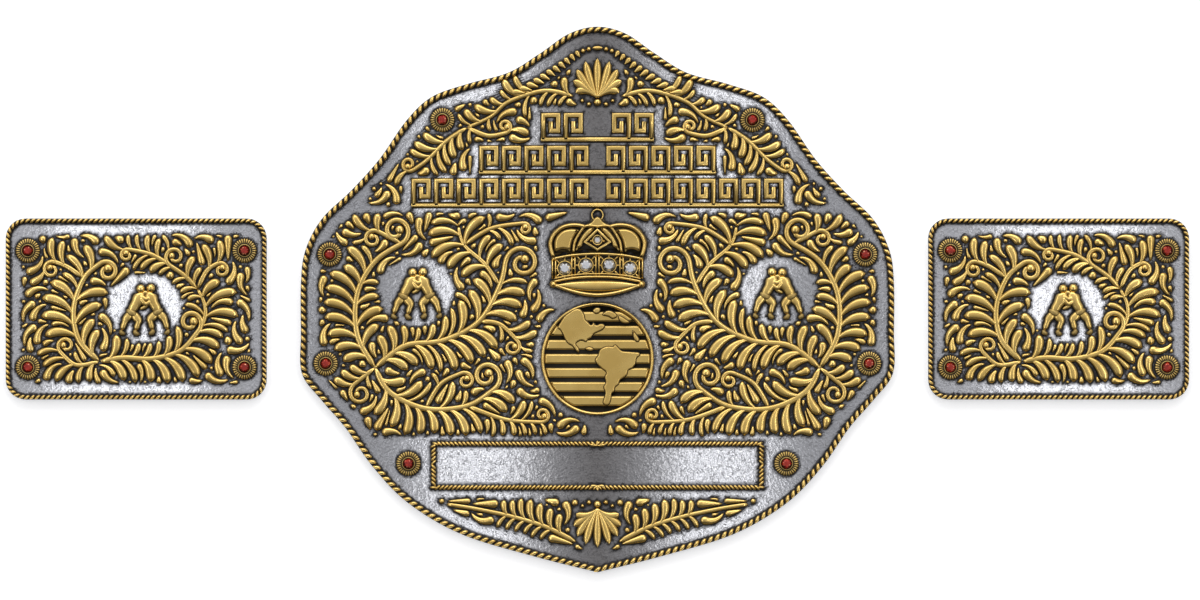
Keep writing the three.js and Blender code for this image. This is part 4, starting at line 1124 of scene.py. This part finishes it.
frame_half = NAME_HALF - NAME_ROPE_W / 2
corners = box(*-frame_half, *frame_half) + [0, NAME_Y]
name_bar = Casting()
carry(name_bar, corners, NAME_ROPE_W / 2 - FLANGE, 0.7, STROKE, closed=True, mitre=True, shade=0.9)
rope(name_bar, even(corners, 1.0, closed=True), NAME_ROPE_W - 0.1, NAME_RISE, NAME_LUMP_PITCH, frame_twist)
t = np.linspace(0, 1, 9)
for up in (1, -1):
    joint = np.array([0, NAME_Y + up * frame_half[1]])
    root = joint - [0, up]
    for tip_x, tip_y in ((-3.6, -0.5), (3.6, -0.5), (0, 1.5)):
        tip = joint + [tip_x, up * tip_y]
        carry(name_bar, root + (tip - root) * t[:, None], leaf_half_width(t, 0.95), NAME_RISE)
name_bar.make("name_bar_frame", gold, "gold", "name_frame")

# %% [markdown]
# ## Three rows of a key pattern
# Above the crown stand three rows of a Greek key, the general ornament of hooked strokes. Each hook
# is one mitred path, as if cut with a graver, and all hooks of a row stand on one rail.

# %% Key rows
KEY_STROKE = 2.3
KEY_SLOT = 2.0
KEY_GAP = 1.6
KEY_RISE = 2.0
KEY_FLANGE = 0.6
KEY_NODES = ("fret_upper", "fret_middle", "fret_lower")
for (count, gap, y), node in zip(KEY_ROWS, KEY_NODES):
    row = Casting()
    half_stroke = KEY_STROKE / 2
    reach = (gap + count * KEY_PITCH) / 2
    low, high = y - KEY_H / 2 + half_stroke, y + KEY_H / 2 - half_stroke
    hook = KEY_PITCH - KEY_GAP - half_stroke
    turn_back = low + KEY_STROKE + KEY_SLOT
    carry(row, [[-reach, low], [reach, low]], half_stroke, KEY_RISE, STROKE, flange=KEY_FLANGE)
    for k in range(count // 2):
        for flip in (-1, 1):
            centre = (half_stroke + hook) / 2
            path = [[half_stroke, low], [half_stroke, high], [hook, high], [hook, turn_back],
                    [centre, turn_back], [centre, high - KEY_STROKE - 0.9]]
            path = [[flip * (reach - k * KEY_PITCH - a), b] for a, b in path]
            carry(row, path, half_stroke, KEY_RISE, STROKE, mitre=True, flange=KEY_FLANGE)
    row.make(node.replace("fret", "key_row"), gold, "gold", node)

# %% [markdown]
# ## The globe
# A ring holds bevelled bars with black gaps between, and flat-topped land stands over them: two
# large pieces and a few islands, drawn freely. Each bar is cut to the ring's circle by its formula.

# %% Globe
GLOBE_RIM_W = 1.5
GLOBE_RIM_H = 2.6
BAR_PITCH = 7.1
BAR_W = 5.2
BAR_H = 2.2
LAND_H = 3.2
LAND = [
    [[-66, 63], [-70, 55], [-65, 51], [-60, 42], [-57, 35], [-51, 27], [-44, 23], [-37, 14], [-32, 12],
     [-34, 20], [-39, 26], [-34, 31], [-27, 33], [-20, 30], [-18, 34], [-11, 38], [-7, 44], [1, 48],
     [9, 52], [13, 59], [6, 62], [-2, 59], [-7, 64], [-11, 59], [-16, 64], [-22, 70], [-24, 79],
     [-30, 87], [-39, 88], [-49, 82], [-58, 75]],
    [[4, 15], [11, 20], [20, 22], [27, 21], [31, 25], [36, 21], [43, 14], [50, 13], [61, 12], [73, 11],
     [75, 7], [69, 1], [67, -9], [60, -17], [54, -20], [52, -28], [45, -34], [40, -37], [37, -45],
     [31, -50], [30, -57], [25, -61], [24, -69], [22, -77], [17, -82], [10, -78], [12, -69], [14, -59],
     [11, -50], [15, -42], [13, -32], [16, -24], [8, -17], [0, -9], [-4, -2], [1, 6]],
    [[9, 78], [17, 85], [28, 83], [35, 76], [27, 71], [20, 75]],
    [[38, 76], [49, 71], [57, 64], [47, 63], [39, 68]],
    [[-8, 85], [-3, 90], [5, 89], [3, 82], [-3, 80]],
    [[-22, 18], [-14, 21], [-6, 17], [-13, 14]],
    [[62, 50], [68, 44], [74, 34], [70, 30], [64, 38]],
]
globe = Casting()
inner = GLOBE_R - GLOBE_RIM_W
turned(globe, [
    [0, -SUNK, 1], [GLOBE_R, -SUNK, 1], [GLOBE_R, 1.2, 0.9], [GLOBE_R - 0.15, 2.0, 0.1],
    [GLOBE_R - 0.5, GLOBE_RIM_H, 0], [GLOBE_R - 1.0, GLOBE_RIM_H, 0], [inner - 0.2, 2.0, 0.2],
    [inner - 0.2, 0.9, 1], [0, 0.9, 1],
], 0, GLOBE_Y, 120)
for row in range(-3, 4):
    y = np.linspace(-BAR_W / 2, BAR_W / 2, 6) + row * BAR_PITCH
    x = np.sqrt(np.maximum((inner - 0.4) ** 2 - y * y, 1))
    bar = np.vstack([np.column_stack([x, y]), np.column_stack([-x, y])[::-1]])
    slab(globe, even(bar, 1.2, closed=True), BAR_H, 0.75, origin=(0, GLOBE_Y))
for land in LAND:
    shape = even(smooth(shares(land, GLOBE_R), 5, closed=True), 0.7, closed=True)
    slab(globe, shape, LAND_H, 0.5, base=BAR_H, origin=(0, GLOBE_Y), tone=0.06)
globe.make("barred_globe", gold, "gold", "globe")

# %% [markdown]
# ## The crown
# The crown is openwork over a dark web: arches and rails are rounded ribs, the lobes under them
# are bevelled panels, and windows show the silver. Its tables are hundredths of the crown's half
# width and of its height.

# %% Crown tables
CROWN = np.array([25.4, 44.7])
CROWN_Y = 1.2
CROWN_WEB_T = 2.0
CROWN_STONE_R = 3.3
CROWN_SMALL_R = 2.0
CROWN_STONE_H = 2.4
CROWN_OUTLINE = [[0, 0], [31, 2], [59, 6], [84, 11.5], [92.4, 15.5], [89.6, 19.5], [87, 23], [87, 38.5],
                 [91, 45.5], [98, 54.5], [100, 62], [94, 71], [84, 78], [70, 82.5], [52, 84], [36, 83.5],
                 [25, 82], [10.5, 89.5]]
CROWN_WINDOWS = [[[13, 49], [17.5, 53], [25, 54.7], [33.5, 53], [39, 49]],
                 [[56, 47.5], [61, 51], [68, 51.5], [74, 49.5], [78.5, 46.5]]]
CROWN_STONES = [[-65, 32.5], [-23, 36], [23, 36], [65, 32.5]]
CROWN_TOP_STONE = [0, 64.5]
# Each rib: half width in mm, height over the web in mm, points.
CROWN_RIBS = [
    (1.05, 2.6, [[25, 79.8], [45, 81.7], [68, 79.4], [85.5, 71.8], [93.5, 62.3], [92.5, 54.4],
                 [88, 46.4]]),
    (0.75, 2.2, [[0, 80], [14, 81], [26, 79.4], [36.4, 71.8], [45, 62.3], [48, 51.2]]),
    (0.7, 2.0, [[0, 49], [24, 48.6], [48, 47.5], [66, 46], [87, 43.5]]),
    (0.7, 2.0, [[0, 23], [30, 22.6], [60, 20.6], [87, 17.5]]),
    (0.45, 1.7, [[0, 26.4], [30, 26], [60, 24], [86, 21]]),
    (1.05, 2.6, [[0, 2.5], [31, 4.3], [59, 8.3], [84, 13.5]]),
]
# Each post is a pair of thin ribs at x, from one height to another, POST_OFF mm to either side.
CROWN_POSTS = [[0, 24, 48], [48, 23, 47], [86.5, 21, 43]]
POST_OFF = 0.8
CROWN_PANELS = [
    [[36, 75.5], [48, 77.5], [62, 76.8], [74, 73.6], [82.5, 68], [86, 62], [86, 56], [83, 51.5], [76, 53.4],
     [68, 54.2], [60, 53.4], [54.5, 51], [53, 57], [49.5, 64.5], [43.5, 71]],
    [[6, 78.3], [16, 77.8], [26, 73], [35, 65.5], [41, 57.5], [43.5, 52], [37, 55.5], [31, 57.6],
     [28.5, 62.5], [21, 68], [12, 73.5]],
]
CROWN_APEX = [[0, 91], [5, 89.5], [12, 84.5], [24, 81], [20, 78.6], [8, 79], [0, 79.6]]
CROWN_CUSHION = [[-84, 13.5, 0], [-50, 13, 8], [0, 12.5, 11], [50, 13, 8], [84, 13.5, 0]]
CROWN_DIAMOND = [[0, 53.5], [25, 62.5], [0, 76], [-25, 62.5]]


def on_crown(rows, flip=1):
    """Hundredths to millimetres on the plate, mirrored if flip is -1."""
    return np.asarray(rows, float)[:, :2] / 100 * CROWN * [flip, 1] + [0, CROWN_Y]


def crown_bead(place, radius, height, flip=1):
    """A half ball on the web, at a place in hundredths."""
    x, y = on_crown([place], flip)[0]
    collar = [[radius + 0.2, CROWN_WEB_T + 0.1]]
    knob(crown, x, y, collar, radius, CROWN_WEB_T + 0.2, height, 0.3, 18)


# %% Crown
crown = Casting()
half = on_crown(CROWN_OUTLINE)
rim_half = np.vstack([smooth(half[:5], 4)[:-1], smooth(half[4:], 4)])
web = np.vstack([rim_half, (rim_half[1:] * [-1, 1])[::-1]])
windows = []
for flip in (1, -1):
    for window in CROWN_WINDOWS:
        arch = smooth(on_crown(window, flip), 5)
        windows.append(arch if flip > 0 else arch[::-1])
top_loops = [inset(web, 0.35)] + [inset(w, -0.25) for w in windows]
levels = (-SUNK, CROWN_WEB_T - 0.4, CROWN_WEB_T)
for loop, top in zip([web] + windows, top_loops):
    rings = at_heights((loop, loop, top), levels)
    crown.grid(np.stack(rings), np.array([[1], [0.9], [0.75]]))
crown.cap(top_loops, FACE + CROWN_WEB_T, 0.95)
crown.cap([web] + windows, FACE - SUNK, 1, up=False)
for half_width, height, points in CROWN_RIBS:
    mirrored = [[-x, y] for x, y in points[::-1]]
    paths = [mirrored[:-1] + points] if points[0][0] == 0 else [mirrored, points]
    for path in paths:
        carry(crown, even(smooth(on_crown(path), 6), 1.0), half_width, height, PLUMP, CROWN_WEB_T)
for flip in (1, -1):
    for x, low, high in CROWN_POSTS:
        for off in (-POST_OFF, POST_OFF) if x else (POST_OFF,):
            path = on_crown([[x, low], [x, high]], flip) + [off * flip, 0]
            carry(crown, path, 0.45, 1.5, PLUMP, CROWN_WEB_T)
        if x or flip > 0:
            crown_bead([x, high + 0.6], 1.15, 1.7, flip)
    for panel_shape, bevel in zip(CROWN_PANELS, (1.0, 0.7)):
        shape = even(smooth(on_crown(panel_shape, flip), 4, closed=True), 0.6, closed=True)
        slab(crown, shape, CROWN_WEB_T + 2.4, bevel, base=CROWN_WEB_T)
    crown_bead([88, 14.6], 1.7, 2.3, flip)
cushion = np.array(CROWN_CUSHION, float)
line = even(smooth(np.column_stack([on_crown(cushion), cushion[:, 2] / 100 * CROWN[0]]), 8), 1.2)
carry(crown, line[:, :2], np.maximum(line[:, 2], 0) * 1.08, 2.5, PILLOW, CROWN_WEB_T)
apex = on_crown(CROWN_APEX)
apex = np.vstack([apex, (apex[1:-1] * [-1, 1])[::-1]])
slab(crown, even(apex, 0.6, closed=True), CROWN_WEB_T + 2.0, 0.6, base=CROWN_WEB_T)
carry(crown, on_crown(CROWN_DIAMOND)[::-1], 0.6, 2.2, STROKE, CROWN_WEB_T, closed=True, mitre=True)
for flip in (-1, 1):
    crown_bead([13, 63.5], 0.7, 1.3, flip)
print("crown web loops:", len(windows))

# %% [markdown]
# ## Bezels, net and ring
# Each clear stone sits in a turned bezel, held by a net of thin spokes. The ring over the crown
# once carried the orb: it is a short piece of tube, turned like the bezels.

# %% Bezels, net and ring of the crown
SPOKE_SLANTED = 7.0
SPOKE_LEVEL = 5.4


def bezel(x, y, radius):
    """A turned collar round a stone, from the web up to just over the stone's girdle."""
    web = CROWN_WEB_T
    turned(crown, [
        [0, -SUNK, 1], [radius + 0.75, -SUNK, 1], [radius + 0.75, web + 0.3, 1],
        [radius + 0.65, web + 1.1, 0.1], [radius + 0.4, web + 1.35, 0], [radius + 0.15, web + 1.25, 0],
        [radius + 0.05, web + 0.7, 0.9], [0, web, 1],
    ], x, y, 36)


for x, y in on_crown(CROWN_STONES):
    bezel(x, y, CROWN_STONE_R)
    for ahead in pointing(full_turn(8)):
        out = SPOKE_SLANTED if abs(ahead[0] * ahead[1]) > 0.1 else SPOKE_LEVEL
        path = np.array([x, y]) + ahead * np.linspace(CROWN_STONE_R + 0.5, out, 3)[:, None]
        carry(crown, path, 0.4, 0.9, PLUMP, CROWN_WEB_T)
bezel(*on_crown([CROWN_TOP_STONE])[0], CROWN_SMALL_R)
ring_x, ring_y = on_crown([[0, 92.8]])[0]
turned(crown, [
    [3.2, -SUNK, 1], [3.2, 2.2, 0.3], [3.05, 2.8, 0], [2.75, 2.9, 0], [2.5, 2.7, 0.1], [2.4, 1.8, 0.9],
    [2.4, -SUNK, 1], [3.2, -SUNK, 1],
], ring_x, ring_y, 36)
crown.make("jewelled_crown", gold, "gold", "crown")

# %% [markdown]
# ## Rosettes and cut stones
# A rosette is turned, with 28 rays pressed into its collar. A stone is a simple brilliant cut: an
# eight-sided table, eight star facets, eight kites and sixteen girdle facets. The stones are foiled
# behind, and each facet gets a tone of its own: painted glints on the table and stars, painted shade
# on the girdle and foot.

# %% Rosettes
ROSETTE_R = 6.2
SEAT_R = 3.4
RAYS = 28
ROSETTE = [
    [0, -SUNK, 1], [ROSETTE_R, -SUNK, 1], [ROSETTE_R, 0.35, 1], [ROSETTE_R - 0.15, 0.8, 0.3],
    [ROSETTE_R - 0.5, 1.1, 0.05], [ROSETTE_R - 1.1, 1.3, 0.05], [ROSETTE_R - 1.8, 1.35, 0.15],
    [SEAT_R + 0.35, 1.2, 0.8], [SEAT_R + 0.1, 1.1, 1], [SEAT_R, 1.5, 0.7], [SEAT_R - 0.3, 1.8, 0.4],
    [SEAT_R - 0.55, 1.75, 0.8], [2.7, 1.0, 1], [0, 0.9, 1],
]


def rays(radius, angle):
    """0.36 (cos(28 angle) - 0.45) from just outside the seat to the rim, whose edge they tooth."""
    share = np.clip((radius - SEAT_R - 0.3) * 3, 0, 1) * (radius < ROSETTE_R)
    return 0.36 * share * (np.cos(RAYS * angle) - 0.45)


def both_sides(places, centre=(0, 0)):
    """Places left and right of a plate's middle line."""
    return [(centre[0] + sx * x, centre[1] + y) for sx in (-1, 1) for x, y in places]


main_places = both_sides(MAIN_ROSETTES)
side_places = {flip: both_sides(SIDE_ROSETTES, (flip * SIDE_X, SIDE_Y)) for flip in (-1, 1)}
for name, places, material, first in (
    ("centre_plate_rosettes", main_places, gold, 1),
    ("left_plate_rosettes", side_places[-1], side_gold[-1], 9),
    ("right_plate_rosettes", side_places[1], side_gold[1], 13),
):
    rosettes = Casting()
    for x, y in places:
        turned(rosettes, ROSETTE, x, y, 4 * RAYS, rays)
    rosettes.make(name, material, "gold", *[f"rosette_{first + k:02d}" for k in range(len(places))])


# %% Cut stones
def cut_stone(casting, facets, x, y, z, radius, height, rng):
    """Rings of corners, from the table down: 8, 8 turned by half a step, 16 at the girdle, 16 at
    the foot, and the middles of table and foot. Facet tones are painted glint and shade, random round their
    kind's tone."""
    eighth = np.arange(8) * math.pi / 4
    sixteenth = np.arange(16) * math.pi / 8
    levels = [
        (0.56, 1.0, eighth), (0.8, 0.66, eighth + math.pi / 8), (1.0, 0.24, sixteenth),
        (0.98, -0.1, sixteenth),
    ]
    rows = [np.column_stack([r * radius * pointing(a), np.full(len(a), h * height)]) for r, h, a in levels]
    rows += [[[0, 0, height]], [[0, 0, -0.1 * height]]]
    points = np.vstack(rows) + [x, y, z]
    k = np.arange(8)
    n = (k + 1) % 8
    table, mid, girdle, foot = k, 8 + k, 16 + 2 * k, 32
    girdle_next, girdle_last = 16 + 2 * k + 1, 16 + (2 * k + 2) % 16
    j = np.arange(16)
    m = (j + 1) % 16
    table_middle, foot_middle = np.full(8, 48), np.full(16, 49)
    # Each kind of facet: its painted tone, bright where it would glint and dark where it would be in shade,
    # the spread round it, its corners.
    kinds = [
        (0.62, 0.1, [table_middle, table, n, n]),
        (0.75, 0.25, [table, mid, n, n]),
        (0.45, 0.4, [n, mid, girdle_last, 8 + n]),
        (0.25, 0.3, [mid, girdle, girdle_next, girdle_next]),
        (0.35, 0.3, [mid, girdle_next, girdle_last, girdle_last]),
        (0.1, 0.05, [16 + j, foot + j, foot + m, 16 + m]),
        (0.0, 0.0, [foot + j, foot_middle, foot + m, foot + m]),
    ]
    for tone, spread, corners in kinds:
        faces = np.stack(corners, 1)
        casting.faces.append(faces + casting.total)
        facets.append(tone + spread * rng.uniform(-1, 1, len(faces)))
    casting.points.append(points)
    casting.tones.append(np.zeros(len(points)))
    casting.total += len(points)


RED_STONE_R = 2.6
RED_STONE_H = 1.8
RED_STONE_Z = FACE + 1.0
rng = np.random.default_rng(11)
reds, red_painted_glints = Casting(), []
for x, y in main_places + side_places[-1] + side_places[1]:
    cut_stone(reds, red_painted_glints, x, y, RED_STONE_Z, RED_STONE_R, RED_STONE_H, rng)
reds.make("red_cut_stones", red_glass, "red_stone", *[f"red_stone_{k:02d}" for k in range(1, 17)],
          facets=np.concatenate(red_painted_glints))
clears, clear_painted_glints = Casting(), []
for x, y in on_crown(CROWN_STONES):
    cut_stone(clears, clear_painted_glints, x, y, FACE + CROWN_WEB_T, CROWN_STONE_R, CROWN_STONE_H, rng)
small_share = CROWN_SMALL_R / CROWN_STONE_R
cut_stone(clears, clear_painted_glints, *on_crown([CROWN_TOP_STONE])[0], FACE + CROWN_WEB_T, CROWN_SMALL_R,
          CROWN_STONE_H * small_share, rng)
clears.make("clear_cut_stones", white_glass, "white_stone", *[f"crown_stone_{k}" for k in range(1, 6)],
            facets=np.concatenate(clear_painted_glints))

# %% [markdown]
# ## The grappling pairs
# Two plain athletes grapple in each clearing. They are this belt's own small figures with plain
# round heads. Every limb is a plump form whose width swells and narrows as muscles do, and nearer
# limbs stand higher.

# %% Figures
FIGURE_HALF = 15.5
FIGURE_RISE = 2.6
FIGURE_FULLER = 1.85
# Each part: share of the rise, darkness, rows of [x, y, half width] in hundredths.
FIGURE_PARTS = [
    (0.55, 0.1, [[-10, 44, 4.5], [0, 50, 4], [10, 48, 3.4], [18, 46, 3.2]]),
    (0.55, 0.1, [[22, 26, 4.5], [12, 16, 4], [2, 4, 3.6], [-10, -2, 3.4], [-18, -4, 3]]),
    (0.72, 0.0, [[-44, -16, 9], [-54, -28, 8], [-62, -38, 6.5], [-66, -50, 5], [-71, -62, 5.6],
                 [-75, -74, 3.6]]),
    (0.72, 0.0, [[44, -14, 9], [56, -26, 8], [64, -36, 6.5], [68, -48, 5], [72, -60, 5.6], [75, -72, 3.6]]),
    (0.8, 0.0, [[-40, -16, 9], [-30, -28, 8.5], [-20, -42, 7], [-22, -52, 5], [-26, -64, 6],
                [-29, -76, 3.6]]),
    (0.8, 0.0, [[40, -14, 9], [30, -26, 8.5], [18, -38, 7], [20, -50, 5], [23, -62, 6], [25, -74, 3.6]]),
    (0.84, 0.55, [[-74, -70, 4.2], [-77, -80, 4.4], [-70, -84, 4.2], [-62, -85, 2.2]]),
    (0.84, 0.55, [[74, -68, 4.2], [77, -78, 4.4], [70, -82, 4.2], [62, -83, 2.2]]),
    (0.86, 0.55, [[-28, -70, 4.4], [-31, -81, 4.6], [-24, -85, 4.4], [-15, -86, 2.2]]),
    (0.86, 0.55, [[24, -68, 4.4], [27, -79, 4.6], [20, -83, 4.4], [11, -84, 2.2]]),
    (0.9, 0.0, [[-44, -20, 7], [-40, -6, 9.5], [-30, 12, 9], [-20, 28, 12], [-13, 42, 11], [-12, 53, 4]]),
    (0.9, 0.0, [[44, -18, 7], [40, -4, 9.5], [30, 14, 9], [22, 30, 12], [18, 44, 11], [20, 55, 4]]),
    (0.96, 0.5, [[-50, -27, 7], [-43, -16, 11], [-38, -5, 9.5]]),
    (0.96, 0.5, [[50, -25, 7], [43, -14, 11], [38, -3, 9.5]]),
    (1.0, 0.0, [[-17, 37, 5.8], [-8, 24, 5.4], [4, 12, 4.4], [14, 18, 4.6], [24, 26, 3.2],
                [28, 30, 3.4]]),
    (1.0, 0.0, [[20, 39, 5.8], [12, 30, 5.4], [3, 28, 4.4], [-6, 34, 4.6], [-16, 41, 3.2],
                [-20, 43, 3.4]]),
]
FIGURE_HEADS = [[-13, 62], [20, 64]]
HEAD_R = 2.15


def grapplers(centre, mirror):
    """Both athletes at a centre: limbs first, then round heads on them."""
    casting = Casting()
    for high, dark, rows in FIGURE_PARTS:
        rows = np.array(rows, float)
        rows[:, 0] *= mirror
        line = even(smooth(rows / 100 * FIGURE_HALF, 6), 0.8)
        swell = np.sin(np.linspace(0, math.pi, len(line))) ** 0.25
        swell[[0, -1]] = 0
        half = FIGURE_FULLER * line[:, 2] * np.maximum(0, swell)
        fullness = 0.8 + 0.2 * line[:, 2] / line[:, 2].max()
        rise = FIGURE_RISE * high * np.sqrt(np.maximum(0, swell)) * fullness
        carry(casting, line[:, :2] + centre, half, rise, PLUMP, shade=dark)
    for x, y in FIGURE_HEADS:
        x, y = centre + np.array([mirror * x, y]) / 100 * FIGURE_HALF
        knob(casting, x, y, [[HEAD_R + 0.25, 0.1]], HEAD_R, 0.8, 1.75, 0.5, 20, steps=6)
    return casting


for flip, word in SIDES:
    pair = grapplers(FIGURE_MAIN * [flip, 1], -flip)
    pair.make(f"grapplers_centre_{word}", gold, "gold", f"wrestlers_main_{word}")
for flip, word in SIDES:
    pair = grapplers(FIGURE_SIDE + [flip * SIDE_X, SIDE_Y], 1)
    pair.make(f"grapplers_{word}", side_gold[flip], "gold", f"wrestlers_{word}")

# %% [markdown]
# ## The hammered grounds
# The silver plates come last, because their finish depends on what stands on them: beside every
# form stays the black of an antique finish, brushed on and wiped off, and painted shade darkens the
# same places. A fine grid of distances to the forms' feet gives that darkening. The hammer's dents
# are real hollows: the least distance to scattered blows.

# %% Distances to the ornament and hammer blows
CELL = 0.6
PATINA_AND_SHADE_REACH = 0.95
DENT_PITCH = 3.0
DENT_DEPTH = 0.07
BLOWS = 128
STANDING = [piece for piece in bpy.data.objects if piece.type == "MESH" and "tone" in piece.data.attributes]


# Painted shade round every form's foot, partly the black of antiquing: 1 at a foot, falling off within about
# two millimetres.
def patina_and_shade_near(points):
    """exp(-(distance / reach)^2.2), with distances in steps between cells from every dark foot."""
    low = points.min(0) - 2 * CELL
    shape = np.ceil((points.max(0) - low) / CELL).astype(int) + 3
    far = np.full(shape, 30.0)
    for piece in STANDING:
        if piece.data.attributes["tone"].domain != "POINT":
            continue
        feet = np.empty(len(piece.data.vertices) * 3)
        tones = np.empty(len(piece.data.vertices))
        piece.data.vertices.foreach_get("co", feet)
        piece.data.attributes["tone"].data.foreach_get("value", tones)
        feet = feet.reshape(-1, 3) / MM
        feet = feet[(tones > 0.95) & (feet[:, 2] < FACE + 0.4)]
        cell = np.round((feet[:, :2] - low) / CELL).astype(int)
        cell = cell[((cell >= 0) & (cell < shape)).all(1)]
        far[cell[:, 0], cell[:, 1]] = 0
    for _ in range(7):
        for dx, dy in ((1, 0), (0, 1), (1, 1), (1, -1)):
            for sign in (1, -1):
                moved = np.roll(far, (sign * dx, sign * dy), (0, 1)) + CELL * math.hypot(dx, dy)
                far = np.minimum(far, moved)
    place = (points - low) / CELL
    i, j = np.floor(place).astype(int).T
    u, v = (place - np.floor(place)).T
    value = (far[i, j] * (1 - u) * (1 - v) + far[i + 1, j] * u * (1 - v)
             + far[i, j + 1] * (1 - u) * v + far[i + 1, j + 1] * u * v)
    return np.exp(-(value / PATINA_AND_SHADE_REACH) ** 2.2)


def hammer(points, seed):
    """Each blow is a shallow bowl round a jittered point of a square lattice: the depth falls with
    the squared distance to the nearest blow, looked for in the nine cells about a point."""
    rng = np.random.default_rng(seed)
    jitter = rng.uniform(0.1, 0.9, (BLOWS, BLOWS, 2))
    force = rng.uniform(0.4, 1.0, (BLOWS, BLOWS))
    cell = np.floor(points / DENT_PITCH).astype(int)
    best = np.full(len(points), 9.0)
    depth = np.zeros(len(points))
    for dx in (-1, 0, 1):
        for dy in (-1, 0, 1):
            at = cell + [dx, dy]
            key = at % BLOWS
            blow = (at + jitter[key[:, 0], key[:, 1]]) * DENT_PITCH
            away = np.linalg.norm(points - blow, axis=1) / DENT_PITCH
            nearer = away < best
            best = np.where(nearer, away, best)
            depth = np.where(nearer, force[key[:, 0], key[:, 1]], depth)
    return -DENT_DEPTH * depth * np.clip(1 - (best / 0.75) ** 2, 0, 1)


# %% Silver plates
WALL_ROUND = 0.35


def silver_plate(name, outline, centre, spacing, material, node, seed):
    """A grid that fills an outline: row by row, x runs evenly between the outline's two sides. A
    rounded wall and a flat back close it."""
    edge_line = inset(outline, REVEAL + WALL_ROUND)
    right = edge_line[edge_line[:, 0] > -1e-6]
    right = right[np.argsort(right[:, 1])]
    foot_y, top_y = edge_line[:, 1].min(), edge_line[:, 1].max()
    rows = int((top_y - foot_y) / spacing)
    columns = int(2 * right[:, 0].max() / spacing)
    y = np.linspace(foot_y, top_y, rows + 1)
    x = np.interp(y, right[:, 1], right[:, 0])
    u = np.linspace(-1, 1, columns + 1)
    flat = np.stack([x[:, None] * u, np.broadcast_to(y[:, None], (rows + 1, columns + 1))], -1) + centre
    shape = flat.shape[:2]
    patina_and_shade = patina_and_shade_near(flat.reshape(-1, 2)).reshape(shape)
    dent = hammer(flat.reshape(-1, 2), seed).reshape(shape)
    dent[[0, -1]] = 0
    dent[:, [0, -1]] = 0
    plate = Casting()
    plate.grid(np.dstack([flat, FACE + dent]), patina_and_shade, loop_across=False)
    ring = np.vstack([flat[0, :-1], flat[:-1, -1], flat[-1, :0:-1], flat[:0:-1, 0]])
    ring = ring[np.linalg.norm(ring - np.roll(ring, 1, 0), axis=1) > 0.002]
    moves, heights = (-WALL_ROUND, -WALL_ROUND, -0.25, 0), (-FACE, -WALL_ROUND, -0.1, 0)
    walls = np.stack(at_heights([inset(ring, d) for d in moves], heights))
    plate.grid(walls, 0.3)
    plate.cap([walls[0][:, :2]], 0.0, 0.3, up=False)
    plate.make(name, material, "silver", node)


silver_plate("centre_silver_ground", main_outline, (0, 0), 1.1, silver, "main_plate", 3)
side_line = even(side_outline, 1.0, closed=True)
for flip, word in SIDES:
    centre, node = (flip * SIDE_X, SIDE_Y), f"{word}_plate"
    silver_plate(f"{word}_silver_ground", side_line, centre, 1.0, side_silver[flip], node, 5 + flip)

# %% [markdown]
# ## Floor, light and camera
# The plates lie on a white table under soft light, seen from straight above, as in a shop's picture.
# Two long softboxes hang to the left and right, where the long waves of the silver mirror them as
# bright bands, and a large one behind the top edge gives each leaf its lit side. The air is pale
# behind that edge and dark in front of it.

# %% Floor
floor_mesh = bpy.data.meshes.new("table_top")
floor_mesh.from_pydata([(-6, -6, 0), (6, -6, 0), (6, 6, 0), (-6, 6, 0)], [], [(0, 1, 2, 3)])
table_top = bpy.data.objects.new("table_top", floor_mesh)
bpy.context.scene.collection.objects.link(table_top)
paper, shader, place = finish(
    "white_paper", Roughness=0.9, Specular_IOR_Level=0.1, Emission_Color=(1, 1, 1, 1), Emission_Strength=0.42)
grain = noise(place, 0.05, 2.0)
feed(shader, "Base Color", grain.blend((0.9, 0.9, 0.905, 1), (0.93, 0.93, 0.93, 1)))
floor_mesh.materials.append(paper)
table_top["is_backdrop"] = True


# %% Lights and camera
def softbox(name, place, size, power, aim=(0, 0, 0)):
    """A rectangular lamp at a place in metres, turned to its aim."""
    lamp = bpy.data.lights.new(name, "AREA")
    lamp.shape = "RECTANGLE"
    lamp.size, lamp.size_y = size
    lamp.energy = power
    holder = bpy.data.objects.new(name, lamp)
    holder.location = place
    holder.rotation_euler = (Vector(aim) - Vector(place)).to_track_quat("-Z", "Y").to_euler()
    bpy.context.scene.collection.objects.link(holder)


for flip, word in SIDES:
    softbox(f"softbox_{word}", (flip * 2.2, 0.0, 3.0), (3.6, 0.5), 19)
softbox("softbox_top", (0.0, 3.0, 1.9), (4.0, 2.4), 65)
world = bpy.data.worlds.new("studio_air")
bpy.context.scene.world = world
world.use_nodes = True
air = Wire(world.node_tree, None)
toward = air.node("ShaderNodeSeparateXYZ", {}, {0: air.node("ShaderNodeTexCoord", output=0)}, output=1)
sky = toward.step(-0.7, 0.3).blend((0.05, 0.05, 0.05, 1), (0.70, 0.70, 0.72, 1))
world.node_tree.links.new(sky.socket, world.node_tree.nodes["Background"].inputs[0])
bpy.context.scene.view_settings.view_transform = "Standard"

# The picture's width and its middle at the height of the plates' faces, in metres.
VIEW_WIDTH = 0.607
VIEW_CENTRE = (0.0013, -0.00025)
lens = bpy.data.cameras.new("camera")
lens.lens, lens.sensor_width = 200.0, 36.0
camera = bpy.data.objects.new("camera", lens)
camera.location = (*VIEW_CENTRE, VIEW_WIDTH * lens.lens / lens.sensor_width + FACE * MM)
bpy.context.scene.collection.objects.link(camera)
bpy.context.scene.camera = camera
print("camera height in m:", round(camera.location[2], 3))

# %% Both boxes and how far they differ
low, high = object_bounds()
boxes = {"cad": [list(cad_low), list(cad_high)], "visual": [list(low), list(high)]}
gaps = [[round((a - b) / MM, 2) for a, b in zip(p, q)] for p, q in zip(*boxes.values())]
print("solids minus visual model, low and high, mm:", gaps)
